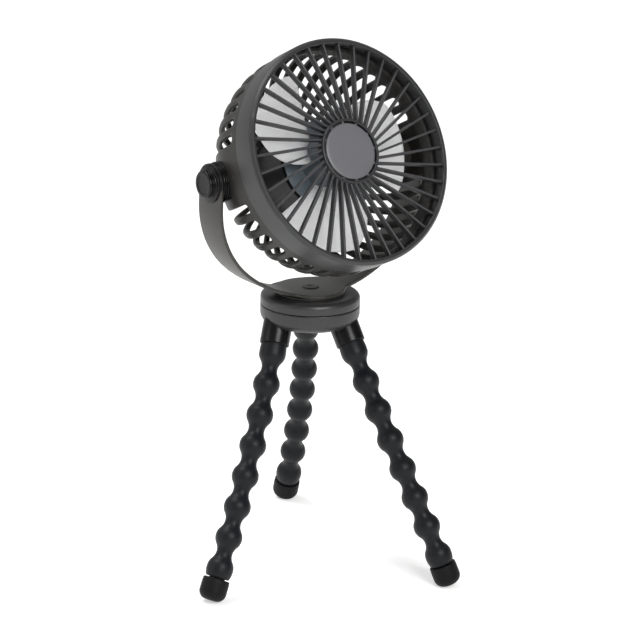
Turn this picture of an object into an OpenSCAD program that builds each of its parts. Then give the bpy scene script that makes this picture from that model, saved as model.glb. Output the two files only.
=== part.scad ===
// Stroller fan: a round caged fan head in a U-shaped yoke, on a swivelling puck with three bead legs.
// The head turns on two side pivots, the yoke turns on the puck, and the legs bend at every neck.
// Z is up, X runs along the side pivots, and the fan blows towards -Y.

/* [Head] */
// Outer radius of the front ring
ring_r = 65; // [60:0.5:72]
// Depth of the front ring, from its rim to the seam with the shell
ring_depth = 16; // [13:0.5:20]
// Wall of the front ring
ring_wall = 2.5; // [2:0.1:3]
// Width of the lip round the front opening
lip = 3.2; // [2.8:0.1:5]
// Distance of the front rim ahead of the side pivots
head_front = 40; // [38:0.5:44]
// Upward tilt of the head as it stands
head_tilt = 26.4; // [0:0.2:45]
// How much smaller the shell is than the front ring, in radius
shell_step = 0.5; // [0.3:0.1:1.5]
// Depth of the solid band of the shell, from the seam to the slots
band_depth = 6; // [5:0.5:9]
// Distance from the seam to where the shell starts to round inwards
shell_straight = 12; // [10:0.5:13]
// Wall of the shell
shell_wall = 3.2; // [2.8:0.1:3.6]

/* [Grille] */
// Number of spokes
spokes = 38; // [24:1:48]
// Width of a spoke
spoke_w = 1.3; // [1:0.1:1.8]
// Depth of a spoke
spoke_depth = 4; // [2.5:0.1:5]
// Distance of the spokes behind the rim
spoke_inset = 1.5; // [0.8:0.1:2.5]
// Distance by which each spoke's line misses the centre
spoke_miss = 6; // [0:0.5:9]
// Angle of the first spoke
spoke_turn = 0.85; // [0:0.05:9]
// Outer radius of the ring that the spokes run into
hub_ring_r = 18.6; // [17:0.2:21]
// Wall of the hub ring
hub_ring_wall = 1.5; // [1.2:0.1:2]
// Groove between the badge and the hub ring
badge_groove = 1.1; // [0.8:0.1:1.6]
// Number of snap ribs round the badge
badge_ribs = 12; // [6:1:16]
// Width of the hoop round the spokes
hoop_w = 1.2; // [1:0.1:1.5]

/* [Rear cage] */
// Number of places round the shell where a slot can be
cage_slots = 40; // [30:2:48]
// Share of a slot in its place
cage_open = 0.53; // [0.4:0.01:0.58]
// Amount the round end of a slot stands wider than the slot on each side
slot_ledge = 0.12; // [0.08:0.01:0.2]
// Width of the solid ring round the pod
cage_ring_w = 4.8; // [4.6:0.1:6]

/* [Pod] */
// Outer radius of the pod that holds the works
pod_r = 25; // [24.5:0.1:27]
// Wall of the pod
pod_wall = 1.8; // [1.5:0.1:2]
// Depth of the pod's front wall behind the rim
pod_front = 34; // [33.5:0.1:36]
// Radius of the power button
button_r = 5.5; // [4:0.1:7]
// Travel of the power button
button_travel = 0.6; // [0.3:0.1:0.9]
// Width of the charging socket
port_w = 8.9; // [8.4:0.1:9.4]
// Height of the charging socket
port_h = 3.2; // [3:0.1:3.6]
// Length of the battery
battery_l = 34; // [24:1:34]
// Width of the battery
battery_w = 30; // [20:1:30]
// Thickness of the battery
battery_t = 12; // [8:0.5:13]

/* [Impeller] */
// Number of blades
blades = 3; // [3:1:5]
// Radius of the blade tips
blade_r = 53; // [44:0.5:54]
// Depth of a blade's front edge behind the rim
blade_front = 16; // [15:0.5:18]
// Depth of a blade's rear edge behind the rim
blade_rear = 31.5; // [28:0.5:32]
// Thickness of a blade
blade_t = 1.5; // [1.2:0.1:2]
// Radius of the impeller's hub
hub_r = 14.5; // [13.8:0.1:16]
// Radius of the disc at the back of the hub
hub_disc_r = 25; // [20:0.5:28]

/* [Side pivots] */
// Radius of a pivot boss on the shell
boss_r = 11; // [9.5:0.1:12]
// Radius of the pivot bolt in the yoke
pivot_r = 4; // [3.5:0.1:4.5]
// Radius of the round cap over the bolt
cap_r = 7.8; // [7.6:0.1:9]
// Length of the cap outside the yoke
cap_l = 4.6; // [4.2:0.1:6]
// Radius of the flange under the cap
flange_r = 10.4; // [9:0.1:10.6]
// Height by which the pad in front of a boss stands out of the shell
boss_proud = 0.5; // [0.3:0.1:0.8]

/* [Yoke] */
// Half of the width across the yoke's arms
yoke_half = 70; // [68:0.5:80]
// Drop of the yoke's underside below the pivots
yoke_drop = 72.5; // [72:0.5:90]
// Width of the yoke's band
band_w = 22; // [20:0.5:24]
// Thickness of the yoke's band
band_t = 2; // [1.6:0.1:2.4]
// Radius of the bend between arm and floor of the yoke
bend_r = 52; // [40:1:54]
// Straight length of the arms below the pivots
arm_straight = 14; // [12:0.5:16]
// Radius of the round pad at the bottom of the yoke
pad_r = 20; // [18:0.5:24]

/* [Base] */
// Radius of the base puck
base_r = 28.5; // [27:0.5:32]
// Height of the puck below the swivel seam
base_h = 11.1; // [10:0.1:14]
// Rounding of the puck's lower edge
base_round = 6.5; // [3:0.5:7]
// Height of the swivel plate above the seam
plate_h = 6.5; // [5.5:0.1:9]
// Rounding of the swivel plate's upper edge
plate_round = 3; // [1:0.5:4]
// Radius of the swivel bolt
bolt_r = 2.5; // [2:0.1:3]

/* [Legs] */
// Height of the leg roots above the table
root_z = 139.2; // [130:0.5:142]
// Distance of the leg roots from the swivel axis
root_r = 23; // [22:0.5:25]
// Heading of the first leg's root
root_heading = 180; // [0:1:359]
// Radius of a leg collar
collar_r = 8.4; // [8.2:0.1:9]
// Distance from a leg root to the centre of the first bead
first_bead = 13.2; // [13:0.1:14]
// Distance between bead centres
bead_pitch = 17.9; // [17.5:0.1:19]
// Radius of a bead
bead_r = 7.65; // [7.2:0.05:7.7]
// Radius of the ball in each neck
ball_r = 3.6; // [3.2:0.1:3.8]
// Radius of the rim round each ball
neck_r = 4.5; // [4.4:0.05:4.6]
// Beads in a leg
beads = 8; // [8:1:8]
// Distance from the last bead to the middle of the foot cap
foot_reach = 12.4; // [12:0.1:14]
// Radius of a foot cap
foot_r = 7.75; // [7.7:0.05:9]
// Length of a foot cap
foot_l = 12.5; // [11:0.5:14]
// Rounding of a foot cap's end
foot_round = 5; // [3:0.5:6]
// Depth of the flat that a foot cap stands on
foot_flat = 0.4; // [0.3:0.1:1]

/* [Fits] */
// Radial clearance of a shaft or pin that turns in its hole
run_fit = 0.1; // [0.05:0.01:0.1]
// Clearance between pieces that slide or turn past each other
gap = 0.3; // [0.25:0.05:0.4]
// Clearance between fixed pieces that slip together
slip = 0.1; // [0.05:0.05:0.15]

/* [Hidden] */

// Headings, splay changes and heading changes along the three legs, as they stand on a table
leg_heading = [36.5, -24.4, -7.9];
leg_turn = [-16.3, 37.8, 21.6];
leg_flex = [-1.6, -11.4, -9.2];

// Heights of the stack between the legs and the pivots
base_bottom = root_z + 2.3;
seam_z = base_bottom + base_h;
plate_bottom = seam_z + gap;
plate_top = plate_bottom + plate_h;
pivot_z = plate_top + yoke_drop;

// Head, with distances counted backwards from the rim
shell_r = ring_r - shell_step;
seam_s = ring_depth;
slot_s = seam_s + band_depth;
dome_s = seam_s + shell_straight;
cage_mid_r = pod_r + gap;
cage_round = shell_r - cage_mid_r;
cage_back = dome_s + cage_round;
opening_r = ring_r - lip;
hub_hole_r = hub_ring_r - hub_ring_wall;
badge_r = hub_hole_r - badge_groove;
saddle_half = boss_r + 4;

// Pivot stack, counted outwards along X
arm_in = yoke_half - band_t;
washer_t = 1;
boss_end = arm_in - washer_t - 2 * slip;
boss_start = shell_r - shell_wall - 5;
cap_in_r = cap_r - 0.8;
bolt_cap_r = pivot_r + 1.2;
bolt_cap_t = 1.8;

// Swivel stack on the puck
pad_t = band_t + 0.8;
pad_top = plate_top + pad_t;
nut_pocket_r = bolt_r + 4.5;
nut_pocket_h = 6;
bolt_head_r = bolt_r + 2.5;
plate_screw_x = 13;

// Works inside the pod
pod_in_r = pod_r - pod_wall;
pod_end = cage_back - 0.8;
flange_s = dome_s + sqrt(pow(cage_round - shell_wall, 2) - pow(cage_ring_w, 2));
flange_t = 2;
lug_r = 2.8;
lug_place = pod_in_r + 0.3 - lug_r;
board_t = 1.6;
board_s = pod_end - 10;
board_r = pod_in_r - 0.5;
cover_t = 1.8;
port_drop = 14;
shaft_r = 1.5;
tube_r = 5.1;
led_r = 1.2;
led_rise = 11;
stator_l = 10;
stator_teeth = 9;
bearing_r = 4;
bearing_t = 3;
tube_s0 = pod_front - 20.5;
stator_s = tube_s0 + 1.5;
hub_front = blade_front - 6;
hub_in_r = hub_r - 1.3;
rotor_r = hub_in_r - 0.05;
rotor_in_r = rotor_r - 1.1;
stator_r = rotor_in_r - 0.4;
switch_top = board_s + board_t + 3.7;

// Joining of the head's pieces
lip_r = ring_r - ring_wall - slip;
slot_start = cage_mid_r + cage_ring_w;
snap_s = seam_s - 3.5;
snap_d = 0.5;
snap_flat = 0.3;
tongue_l = 6;
tongue_t = 2;
lip_depth = 2.2;
hoop_front = lip_depth + 0.7;
hoop_back = spoke_inset + spoke_depth + 0.3;
hoop_snap = (hoop_front + hoop_back) / 2;
hub_back = spoke_inset + spoke_depth + 0.4;
hub_open_r = 6;
badge_seat = hub_back - 1.6;
bolt_core_r = 2;

// Leg joints
cup_r = ball_r + gap;
rim_over = 0.3;
first_neck = sqrt(bead_r * bead_r - neck_r * neck_r);
first_hinge = first_bead - first_neck;
collar_out = first_hinge + 0.7;
collar_in = 8;
stub_r = 3.5;
leg_total = first_bead + (beads - 1) * bead_pitch + foot_reach;

function step_len(i) = i == 0 ? first_bead : i == beads ? foot_reach : bead_pitch;
function heading(k, i) = root_heading + 120 * k + leg_heading[k] + leg_turn[k] * i / beads;
function lean(k, s, i) = s + leg_flex[k] * i / beads;
function root_of(k) = [root_r * cos(root_heading + 120 * k), root_r * sin(root_heading + 120 * k), root_z];
function way(h, s) = [cos(h) * sin(s), sin(h) * sin(s), -cos(s)];
function run(k, s, i) =
  i < 0 ? root_of(k) : run(k, s, i - 1) + step_len(i) * way(heading(k, i), lean(k, s, i));
// Distance from the middle of a foot cap down to its lowest point, for a cap that leans by s
function foot_low(s) = (foot_l / 2 - foot_round) * cos(s) + (foot_r - foot_round) * sin(s) + foot_round;
function foot_error(k, s) = run(k, s, beads)[2] - foot_low(lean(k, s, beads)) + foot_flat;
// Splay at which the foot of leg k stands on the table
function level(k, s, n) =
  n == 0 ? s : level(k, s - foot_error(k, s) / (leg_total * sin(s) * PI / 180), n - 1);
splay = [for (k = [0:2]) level(k, 30, 8)];

// Place of the swivel axis, with the whole fan's footprint centred on the origin
feet = [for (k = [0:2]) run(k, splay[k], beads)];
foot_x = [for (f = feet) f[0]];
foot_y = [for (f = feet) f[1]];
cap_end = yoke_half + cap_l;
axis_x = -(min(min(foot_x) - foot_r, -cap_end) + max(max(foot_x) + foot_r, cap_end)) / 2;
axis_y = -(min(foot_y) + max(foot_y)) / 2;

function arc(x, y, r, a, b, n) =
  [for (j = [0:n]) let (t = a + (b - a) * j / n) [x + r * cos(t), y + r * sin(t)]];

module on_axis() {
  translate([axis_x, axis_y, 0]) children();
}

module on_head() {
  translate([axis_x, axis_y, pivot_z])
    rotate([90 - head_tilt, 0, 0])
      children();
}

// Solid disc or tube in the head, from depth s0 to depth s1 behind the rim
module disc_s(s0, s1, r) {
  translate([0, 0, head_front - s1]) cylinder(r = r, h = s1 - s0);
}

module tube_s(s0, s1, r_in, r_out) {
  difference() {
    disc_s(s0, s1, r_out);
    disc_s(s0 - 1, s1 + 1, r_in);
  }
}

module along(k, i) {
  rotate([0, 180 - lean(k, splay[k], i), heading(k, i)]) children();
}

module base_body() {
  color([0.24, 0.24, 0.25])
    on_axis()
      difference() {
        translate([0, 0, base_bottom])
          rotate_extrude($fn = 96)
            polygon(concat(
              [[0, 0]],
              arc(base_r - base_round, base_round, base_round, -90, 0, 10),
              [[base_r, base_h - 0.6], [base_r - 0.6, base_h], [0, base_h]]));
        for (k = [0:2])
          translate(root_of(k))
            along(k, 0)
              translate([0, 0, -collar_in - 0.2]) cylinder(r = collar_r + slip, h = 30, $fn = 64);
        translate([0, 0, base_bottom - 1]) cylinder(r = bolt_r + slip, h = base_h + 2, $fn = 48);
        translate([0, 0, base_bottom - 1]) cylinder(r = nut_pocket_r, h = nut_pocket_h + 1, $fn = 64);
      }
}

module swivel_bolt() {
  color([0.3, 0.3, 0.3])
    on_axis() {
      translate([0, 0, base_bottom + 0.8])
        cylinder(r = bolt_r, h = pad_top - base_bottom - 0.8 + slip, $fn = 48);
      translate([0, 0, pad_top + slip])
        rotate_extrude($fn = 64)
          polygon([[0, 0], [bolt_head_r, 0], [bolt_head_r, 0.3], [bolt_head_r - 0.4, 0.7], [0, 0.7]]);
    }
}

module swivel_nut() {
  color([0.6, 0.6, 0.62])
    on_axis()
      difference() {
        union() {
          translate([0, 0, base_bottom + nut_pocket_h - 1]) cylinder(r = nut_pocket_r - 0.5, h = 1, $fn = 64);
          translate([0, 0, base_bottom + nut_pocket_h - 5]) cylinder(r = bolt_r + 2.1, h = 4, $fn = 6);
        }
        translate([0, 0, base_bottom - 1]) cylinder(r = bolt_r + 0.05, h = base_h, $fn = 48);
      }
}

module swivel_washer() {
  color([0.75, 0.72, 0.65])
    on_axis()
      translate([0, 0, seam_z])
        difference() {
          cylinder(r = base_r - 8, h = gap - 0.05, $fn = 96);
          translate([0, 0, -1]) cylinder(r = bolt_r + gap, h = 3, $fn = 48);
        }
}

module leg_collars() {
  color([0.16, 0.16, 0.17])
    on_axis()
      for (k = [0:2])
        translate(root_of(k))
          along(k, 0) {
            difference() {
              translate([0, 0, -collar_in]) cylinder(r = collar_r, h = collar_in + collar_out, $fn = 64);
              translate([0, 0, first_hinge - ball_r + 0.4])
                cylinder(r = collar_r - 1, h = 20, $fn = 64);
            }
            translate([0, 0, first_hinge]) sphere(r = ball_r, $fn = 48);
          }
}

module swivel_plate() {
  color([0.22, 0.22, 0.23])
    on_axis()
      difference() {
        translate([0, 0, plate_bottom])
          rotate_extrude($fn = 96)
            polygon(concat(
              [[0, 0], [base_r - 0.4, 0], [base_r, 0.4]],
              arc(base_r - plate_round, plate_h - plate_round, plate_round, 0, 90, 8),
              [[0, plate_h]]));
        translate([0, 0, plate_bottom - 1]) cylinder(r = bolt_r + gap, h = plate_h + 2, $fn = 48);
        for (a = [0, 180])
          rotate([0, 0, a])
            translate([plate_screw_x, 0, plate_bottom - 1]) {
              cylinder(r = 1.3, h = plate_h + 2, $fn = 32);
              cylinder(r = 2.6, h = 3, $fn = 32);
            }
      }
}

module plate_screws() {
  color([0.6, 0.6, 0.62])
    on_axis()
      for (a = [0, 180])
        rotate([0, 0, a])
          translate([plate_screw_x, 0, plate_bottom + 0.3]) {
            cylinder(r = 2.4, h = 1.7, $fn = 32);
            cylinder(r = 1.2, h = plate_h - 0.3 + 1.4, $fn = 32);
          }
}

// Outline of the yoke's band: straight arms, a bend of bend_r on each side and a flatter floor
function yoke_side(half, drop, bend) =
  let (cx = half - bend,
       rise = drop - arm_straight - bend,
       h = (cx * cx - rise * rise) / (2 * rise),
       floor_r = bend + rise + h,
       turn = atan2(h, cx))
  concat(
    arc(cx, -arm_straight, bend, 0, -turn, 16),
    arc(0, -arm_straight + h, floor_r, -turn, -90, 20));

module yoke_outline(half, drop, bend) {
  side = yoke_side(half, drop, bend);
  n = len(side);
  polygon(concat(
    [[half, 0]],
    side,
    [for (j = [n - 2:-1:0]) [-side[j][0], side[j][1]]],
    [[-half, 0]]));
}

module yoke() {
  color([0.27, 0.27, 0.27])
    on_axis()
      translate([0, 0, pivot_z])
        difference() {
          union() {
            rotate([90, 0, 0])
              translate([0, 0, -band_w / 2])
                linear_extrude(height = band_w)
                  difference() {
                    yoke_outline(yoke_half, yoke_drop, bend_r);
                    yoke_outline(arm_in, yoke_drop - band_t, bend_r - band_t);
                  }
            for (side = [-1, 1])
              translate([side * (arm_in + band_t / 2), 0, 0])
                rotate([0, 90, 0])
                  cylinder(r = band_w / 2, h = band_t, center = true, $fn = 64);
            for (side = [-1, 1])
              translate([side * (yoke_half + 0.4), 0, 0])
                rotate([0, 90, 0])
                  cylinder(r = cap_in_r - 0.05, h = 1.6, center = true, $fn = 64);
            translate([0, 0, -yoke_drop]) cylinder(r = pad_r, h = pad_t, $fn = 96);
          }
          for (side = [-1, 1]) {
            translate([side * arm_in, 0, 0])
              rotate([0, 90, 0])
                cylinder(r = pivot_r + run_fit, h = 20, center = true, $fn = 64);
            translate([side * (yoke_half + 5), 0, 0])
              rotate([0, 90, 0])
                cylinder(r = bolt_cap_r + gap, h = 10, center = true, $fn = 64);
          }
          translate([0, 0, -yoke_drop - 1]) cylinder(r = bolt_r + gap, h = 10, $fn = 48);
          for (side = [-1, 1])
            translate([side * plate_screw_x, 0, -yoke_drop - 1]) cylinder(r = 1.25, h = 2.6, $fn = 32);
        }
}

module pivot_caps() {
  color([0.2, 0.2, 0.2])
    on_axis()
      translate([0, 0, pivot_z])
        for (side = [-1, 1])
          rotate([0, side * 90, 0])
            translate([0, 0, yoke_half])
              rotate_extrude($fn = 64)
                polygon(concat(
                  [[0, cap_l - 2.2], [cap_in_r, cap_l - 2.2], [cap_in_r, 0.05],
                   [flange_r, 0.05], [flange_r, 1.1], [cap_r, 1.5]],
                  arc(cap_r - 1.2, cap_l - 1.2, 1.2, 0, 90, 6),
                  [[0, cap_l]]));
}

// Half of a snap rib or its groove, 45 degrees on both flanks, on a wall of radius r at depth s
function snap_bump(r, s, rise, flat) =
  [[r, -s - flat - rise], [r + rise, -s - flat], [r + rise, -s + flat], [r, -s + flat + rise]];

module front_ring() {
  wall_in = lip_r + slip;
  groove = snap_d + slip;
  color([0.25, 0.25, 0.26])
    on_head()
      translate([0, 0, head_front])
        rotate_extrude($fn = 144)
          polygon(concat(
            [[opening_r, -0.6], [opening_r + 0.7, 0], [ring_r - 1.2, 0], [ring_r - 0.4, -0.4],
             [ring_r, -1.2], [ring_r, -ring_depth], [wall_in, -ring_depth]],
            snap_bump(wall_in, snap_s, groove, snap_flat + slip),
            snap_bump(wall_in, hoop_snap, groove, snap_flat + slip),
            [[wall_in, -lip_depth - 0.5], [opening_r, -lip_depth]]));
}

// Spokes run straight from the hub ring to the hoop, each missing the centre by spoke_miss
module spoke() {
  inner = sqrt(pow(hub_ring_r - 0.8, 2) - pow(spoke_miss, 2));
  outer = sqrt(pow(opening_r - slip, 2) - pow(spoke_miss + spoke_w / 2, 2));
  translate([inner, -spoke_miss - spoke_w / 2, head_front - spoke_inset - spoke_depth])
    cube([outer - inner, spoke_w, spoke_depth]);
}

module spoke_guard() {
  color([0.25, 0.25, 0.26])
    on_head() {
      for (i = [0:spokes - 1])
        rotate([0, 0, 360 / spokes * i + spoke_turn]) spoke();
      translate([0, 0, head_front])
        rotate_extrude($fn = 144)
          polygon(concat(
            [[lip_r - hoop_w, -hoop_back], [lip_r, -hoop_back]],
            snap_bump(lip_r, hoop_snap, snap_d, snap_flat),
            [[lip_r, -hoop_front], [lip_r - hoop_w, -hoop_front]]));
      translate([0, 0, head_front])
        rotate_extrude($fn = 96)
          polygon([
            [hub_hole_r, -0.2], [hub_ring_r, -0.2], [hub_ring_r, -hub_back], [hub_open_r, -hub_back],
            [hub_open_r, -badge_seat], [hub_hole_r, -badge_seat]]);
    }
}

module hub_badge() {
  color([0.44, 0.44, 0.46])
    on_head() {
      translate([0, 0, head_front])
        rotate_extrude($fn = 96)
          polygon([
            [0, -2.4], [badge_r - 1.5, -2.4], [badge_r - 1.5, -badge_seat], [badge_r, -badge_seat],
            [badge_r, -1], [badge_r - 0.6, -0.4], [0, -0.3]]);
      for (i = [0:badge_ribs - 1])
        rotate([0, 0, 360 / badge_ribs * i])
          translate([badge_r - 0.6, -0.6, head_front - badge_seat])
            cube([badge_groove + 0.55, 1.2, 1.4]);
    }
}

// Half outline of the shell, straight at first and rounded behind, set in by t
module shell_outline(t) {
  translate([cage_mid_r, -dome_s])
    intersection() {
      circle(r = cage_round - t, $fn = 128);
      translate([0, -cage_round - 1]) square(cage_round + 1);
    }
  translate([cage_mid_r, -dome_s]) square([cage_round - t, dome_s - seam_s]);
}

// Slots between the ribs. Each is a wedge along the axis that ends round near the seam
module rib_slots() {
  share = cage_open * 180 / cage_slots;
  slot_r = shell_r * sin(share) + slot_ledge;
  for (i = [0:cage_slots - 1])
    if (abs(sin(360 / cage_slots * i)) * shell_r > saddle_half)
      rotate([0, 0, 360 / cage_slots * i])
        translate([0, 0, head_front - slot_s - slot_r]) {
          mirror([0, 0, 1])
            linear_extrude(height = cage_round + shell_straight)
              polygon([
                [slot_start, -slot_start * tan(share)], [shell_r + 4, -(shell_r + 4) * tan(share)],
                [shell_r + 4, (shell_r + 4) * tan(share)], [slot_start, slot_start * tan(share)]]);
          translate([shell_r - shell_wall - 4, 0, 0])
            rotate([0, 90, 0])
              cylinder(r = slot_r, h = shell_wall + 8, $fn = 48);
        }
}

module rear_shell() {
  color([0.27, 0.27, 0.26])
    on_head()
      difference() {
        union() {
          difference() {
            translate([0, 0, head_front])
              rotate_extrude($fn = 144)
                difference() {
                  shell_outline(0);
                  shell_outline(shell_wall);
                }
            rib_slots();
            housing_screw_places() {
              disc_s(flange_s - 1, cage_back + 1, 1.1, $fn = 32);
              disc_s(cage_back - 1.5, cage_back + 1, 2, $fn = 32);
            }
          }
          translate([0, 0, head_front])
            rotate_extrude($fn = 144)
              polygon(concat(
                [[lip_r - tongue_t, -seam_s], [lip_r, -seam_s - tongue_t]],
                snap_bump(lip_r, snap_s, snap_d, snap_flat),
                [[lip_r, -seam_s + tongue_l], [lip_r - tongue_t, -seam_s + tongue_l]]));
          intersection() {
            disc_s(seam_s + 0.3, head_front, shell_r + boss_proud, $fn = 144);
            for (side = [-1, 1])
              translate([side * shell_r, 0, 0])
                cube([shell_wall, 2 * boss_r, 3 * head_front], center = true);
          }
          for (side = [-1, 1])
            rotate([0, side * 90, 0]) {
              translate([0, 0, boss_start]) cylinder(r = boss_r, h = boss_end - 2 - boss_start, $fn = 64);
              translate([0, 0, boss_start]) cylinder(r = boss_r - 1.5, h = boss_end - boss_start, $fn = 64);
            }
        }
        for (side = [-1, 1])
          rotate([0, side * 90, 0])
            translate([0, 0, boss_end - 9]) cylinder(r = bolt_core_r, h = 20, $fn = 48);
      }
}

module housing_screw_places() {
  for (i = [0:3])
    rotate([0, 0, 45 + 90 * i])
      translate([cage_mid_r + cage_ring_w / 2, 0, 0])
        children();
}

module motor_housing() {
  color([0.18, 0.18, 0.19])
    on_head()
      difference() {
        union() {
          disc_s(pod_front, pod_front + 2, pod_r, $fn = 96);
          disc_s(tube_s0, pod_front + 1, tube_r, $fn = 64);
          tube_s(pod_front + 1, pod_end, pod_in_r, pod_r, $fn = 96);
          tube_s(flange_s - flange_t, flange_s, pod_in_r + 0.5, cage_mid_r + cage_ring_w - 0.5, $fn = 96);
          lug_places() disc_s(board_s + board_t, pod_end, lug_r, $fn = 32);
        }
        disc_s(tube_s0 - 1, tube_s0 + bearing_t, bearing_r + 0.02, $fn = 64);
        disc_s(tube_s0 - 1, pod_front - bearing_t, bearing_r - 1, $fn = 64);
        disc_s(pod_front - bearing_t, pod_front, bearing_r + 0.02, $fn = 64);
        lug_places() disc_s(board_s + board_t + 2, pod_end + 1, 0.9, $fn = 32);
        housing_screw_places() disc_s(flange_s - flange_t - 1, flange_s + 1, 0.9, $fn = 32);
      }
}

module housing_screws() {
  color([0.62, 0.62, 0.64])
    on_head()
      housing_screw_places() {
        disc_s(cage_back - 1.4, cage_back - 0.2, 1.8, $fn = 32);
        disc_s(flange_s - flange_t, cage_back - 1, 0.9, $fn = 32);
      }
}

module rear_cover() {
  color([0.2, 0.2, 0.2])
    on_head()
      difference() {
        translate([0, 0, head_front - pod_end])
          rotate_extrude($fn = 96)
            polygon([[0, 0], [pod_r, 0], [pod_r, -cover_t + 0.8], [pod_r - 0.8, -cover_t], [0, -cover_t]]);
        disc_s(pod_end - 1, pod_end + 5, button_r + gap, $fn = 64);
        translate([0, -port_drop, head_front - pod_end - 5])
          port_shape(port_w + 0.4, port_h + 0.4, 10);
        translate([0, led_rise, 0]) disc_s(pod_end - 1, pod_end + 5, led_r + slip, $fn = 32);
        lug_places() {
          disc_s(pod_end - 1, pod_end + 5, 1.2, $fn = 32);
          disc_s(pod_end + cover_t - 0.9, pod_end + 5, 2.3, $fn = 32);
        }
      }
}

module lug_places() {
  for (i = [0:2])
    rotate([0, 0, 90 + 120 * i])
      translate([lug_place, 0, 0])
        children();
}

// Upright bar with round ends, as a charging socket has
module port_shape(w, h, length) {
  for (side = [-1, 1])
    translate([side * (w - h) / 2, 0, 0]) cylinder(r = h / 2, h = length, $fn = 48);
  translate([-(w - h) / 2, -h / 2, 0]) cube([w - h, h, length]);
}

module cover_screws() {
  color([0.62, 0.62, 0.64])
    on_head()
      lug_places() {
        disc_s(pod_end + cover_t - 0.9, pod_end + cover_t - 0.1, 2.2, $fn = 32);
        disc_s(pod_end - 5, pod_end + cover_t - 0.8, 0.85, $fn = 32);
      }
}

module pivot_bolts() {
  color([0.6, 0.6, 0.62])
    on_head()
      for (side = [-1, 1])
        rotate([0, side * 90, 0]) {
          translate([0, 0, boss_end - 8]) cylinder(r = bolt_core_r - 0.05, h = 9, $fn = 48);
          translate([0, 0, boss_end]) cylinder(r = pivot_r, h = yoke_half + slip - boss_end, $fn = 64);
          translate([0, 0, yoke_half + slip]) cylinder(r = bolt_cap_r, h = bolt_cap_t, $fn = 64);
        }
}

module pivot_washers() {
  color([0.75, 0.72, 0.65])
    on_head()
      for (side = [-1, 1])
        rotate([0, side * 90, 0])
          translate([0, 0, boss_end + slip])
            difference() {
              cylinder(r = boss_r - 2, h = washer_t, $fn = 64);
              translate([0, 0, -1]) cylinder(r = pivot_r + 0.05, h = washer_t + 2, $fn = 64);
            }
}

module motor_stator() {
  color([0.5, 0.5, 0.52])
    on_head() {
      tube_s(stator_s, stator_s + stator_l, tube_r + 0.02, tube_r + 1.8, $fn = 64);
      difference() {
        tube_s(stator_s, stator_s + stator_l, stator_r - 1.2, stator_r, $fn = 96);
        for (i = [0:stator_teeth - 1])
          rotate([0, 0, 360 / stator_teeth * (i + 0.5)])
            translate([stator_r - 3, -0.8, 0]) cube([6, 1.6, head_front]);
      }
      for (i = [0:stator_teeth - 1])
        rotate([0, 0, 360 / stator_teeth * i])
          translate([tube_r + 1.4, -1, head_front - stator_s - stator_l + 0.3])
            cube([stator_r - tube_r - 2.2, 2, stator_l - 0.6]);
    }
}

module motor_coils() {
  color([0.65, 0.35, 0.18])
    on_head()
      for (i = [0:stator_teeth - 1])
        rotate([0, 0, 360 / stator_teeth * i])
          translate([tube_r + 2.2, 0, head_front - stator_s - stator_l])
            difference() {
              translate([0, -2, -1]) cube([stator_r - tube_r - 3.8, 4, stator_l + 2]);
              translate([-1, -1.05, -0.05]) cube([10, 2.1, stator_l + 0.1]);
            }
}

module motor_bearings() {
  color([0.72, 0.58, 0.35])
    on_head()
      for (s = [tube_s0, pod_front - bearing_t])
        tube_s(s, s + bearing_t, shaft_r + run_fit / 2, bearing_r, $fn = 64);
}

module circuit_board() {
  color([0.1, 0.35, 0.2])
    on_head() {
      disc_s(board_s, board_s + board_t, board_r, $fn = 96);
      translate([-3, -3, head_front - switch_top + 0.2]) cube([6, 6, 3.5]);
      disc_s(board_s + board_t, switch_top, 1.7, $fn = 32);
      translate([-9, 3, head_front - board_s]) cube([5, 5, 1.2]);
      translate([4, 2, head_front - board_s]) cube([6, 6, 3]);
      translate([-4, -12, head_front - board_s]) cube([8, 5, 4]);
    }
}

module battery() {
  color([0.35, 0.5, 0.65])
    on_head()
      translate([-battery_l / 2, -battery_w / 2, head_front - pod_front - 2.1 - battery_t])
        cube([battery_l, battery_w, battery_t]);
}

module usb_socket() {
  color([0.7, 0.7, 0.72])
    on_head()
      translate([0, -port_drop, head_front - pod_end - 1]) {
        difference() {
          port_shape(port_w, port_h, pod_end + 1 - board_s - board_t);
          translate([0, 0, -1]) port_shape(port_w - 0.7, port_h - 0.7, 7.5);
        }
        translate([-3.2, -0.35, 1]) cube([6.4, 0.7, 6]);
      }
}

module led_lens() {
  color([0.85, 0.9, 0.95])
    on_head()
      translate([0, led_rise, 0]) disc_s(board_s + board_t + 0.2, pod_end + cover_t, led_r, $fn = 32);
}

module power_button() {
  color([0.33, 0.33, 0.34])
    on_head() {
      disc_s(switch_top + gap + button_travel, pod_end - 1, 2.5, $fn = 32);
      disc_s(pod_end - 1.2, pod_end - 0.1, button_r + 1.5, $fn = 64);
      translate([0, 0, head_front - pod_end])
        rotate_extrude($fn = 64)
          polygon([
            [0, 0.5], [button_r, 0.5], [button_r, -cover_t - 0.7], [button_r - 0.5, -cover_t - 1.2],
            [0, -cover_t - 1.2]]);
    }
}

// One blade is a sheet over a grid. Share v runs from hub to tip, share w from the rear edge to
// the front edge. The front edge trails round the hub, and both tip corners are rounded off.
function blade_front_angle(v) = 182 - 29.5 * pow(v, 2.2);
function blade_rear_angle(v) = 107 - 25 * v + 12 * v * v;
function blade_radius(v, w) = hub_r - 0.7 + v * (blade_r - 1.5 * pow(2 * w - 1, 6) - hub_r + 0.7);
function blade_point(v, w, face) =
  let (r = blade_radius(v, w),
       a = blade_rear_angle(v) + (blade_front_angle(v) - blade_rear_angle(v)) * w,
       s = blade_rear - 0.8 - (blade_rear - 0.8 - blade_front) * w - 1.2 * sin(180 * w) * v)
  [r * cos(a), r * sin(a), head_front - s + face * blade_t / 2];

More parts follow.
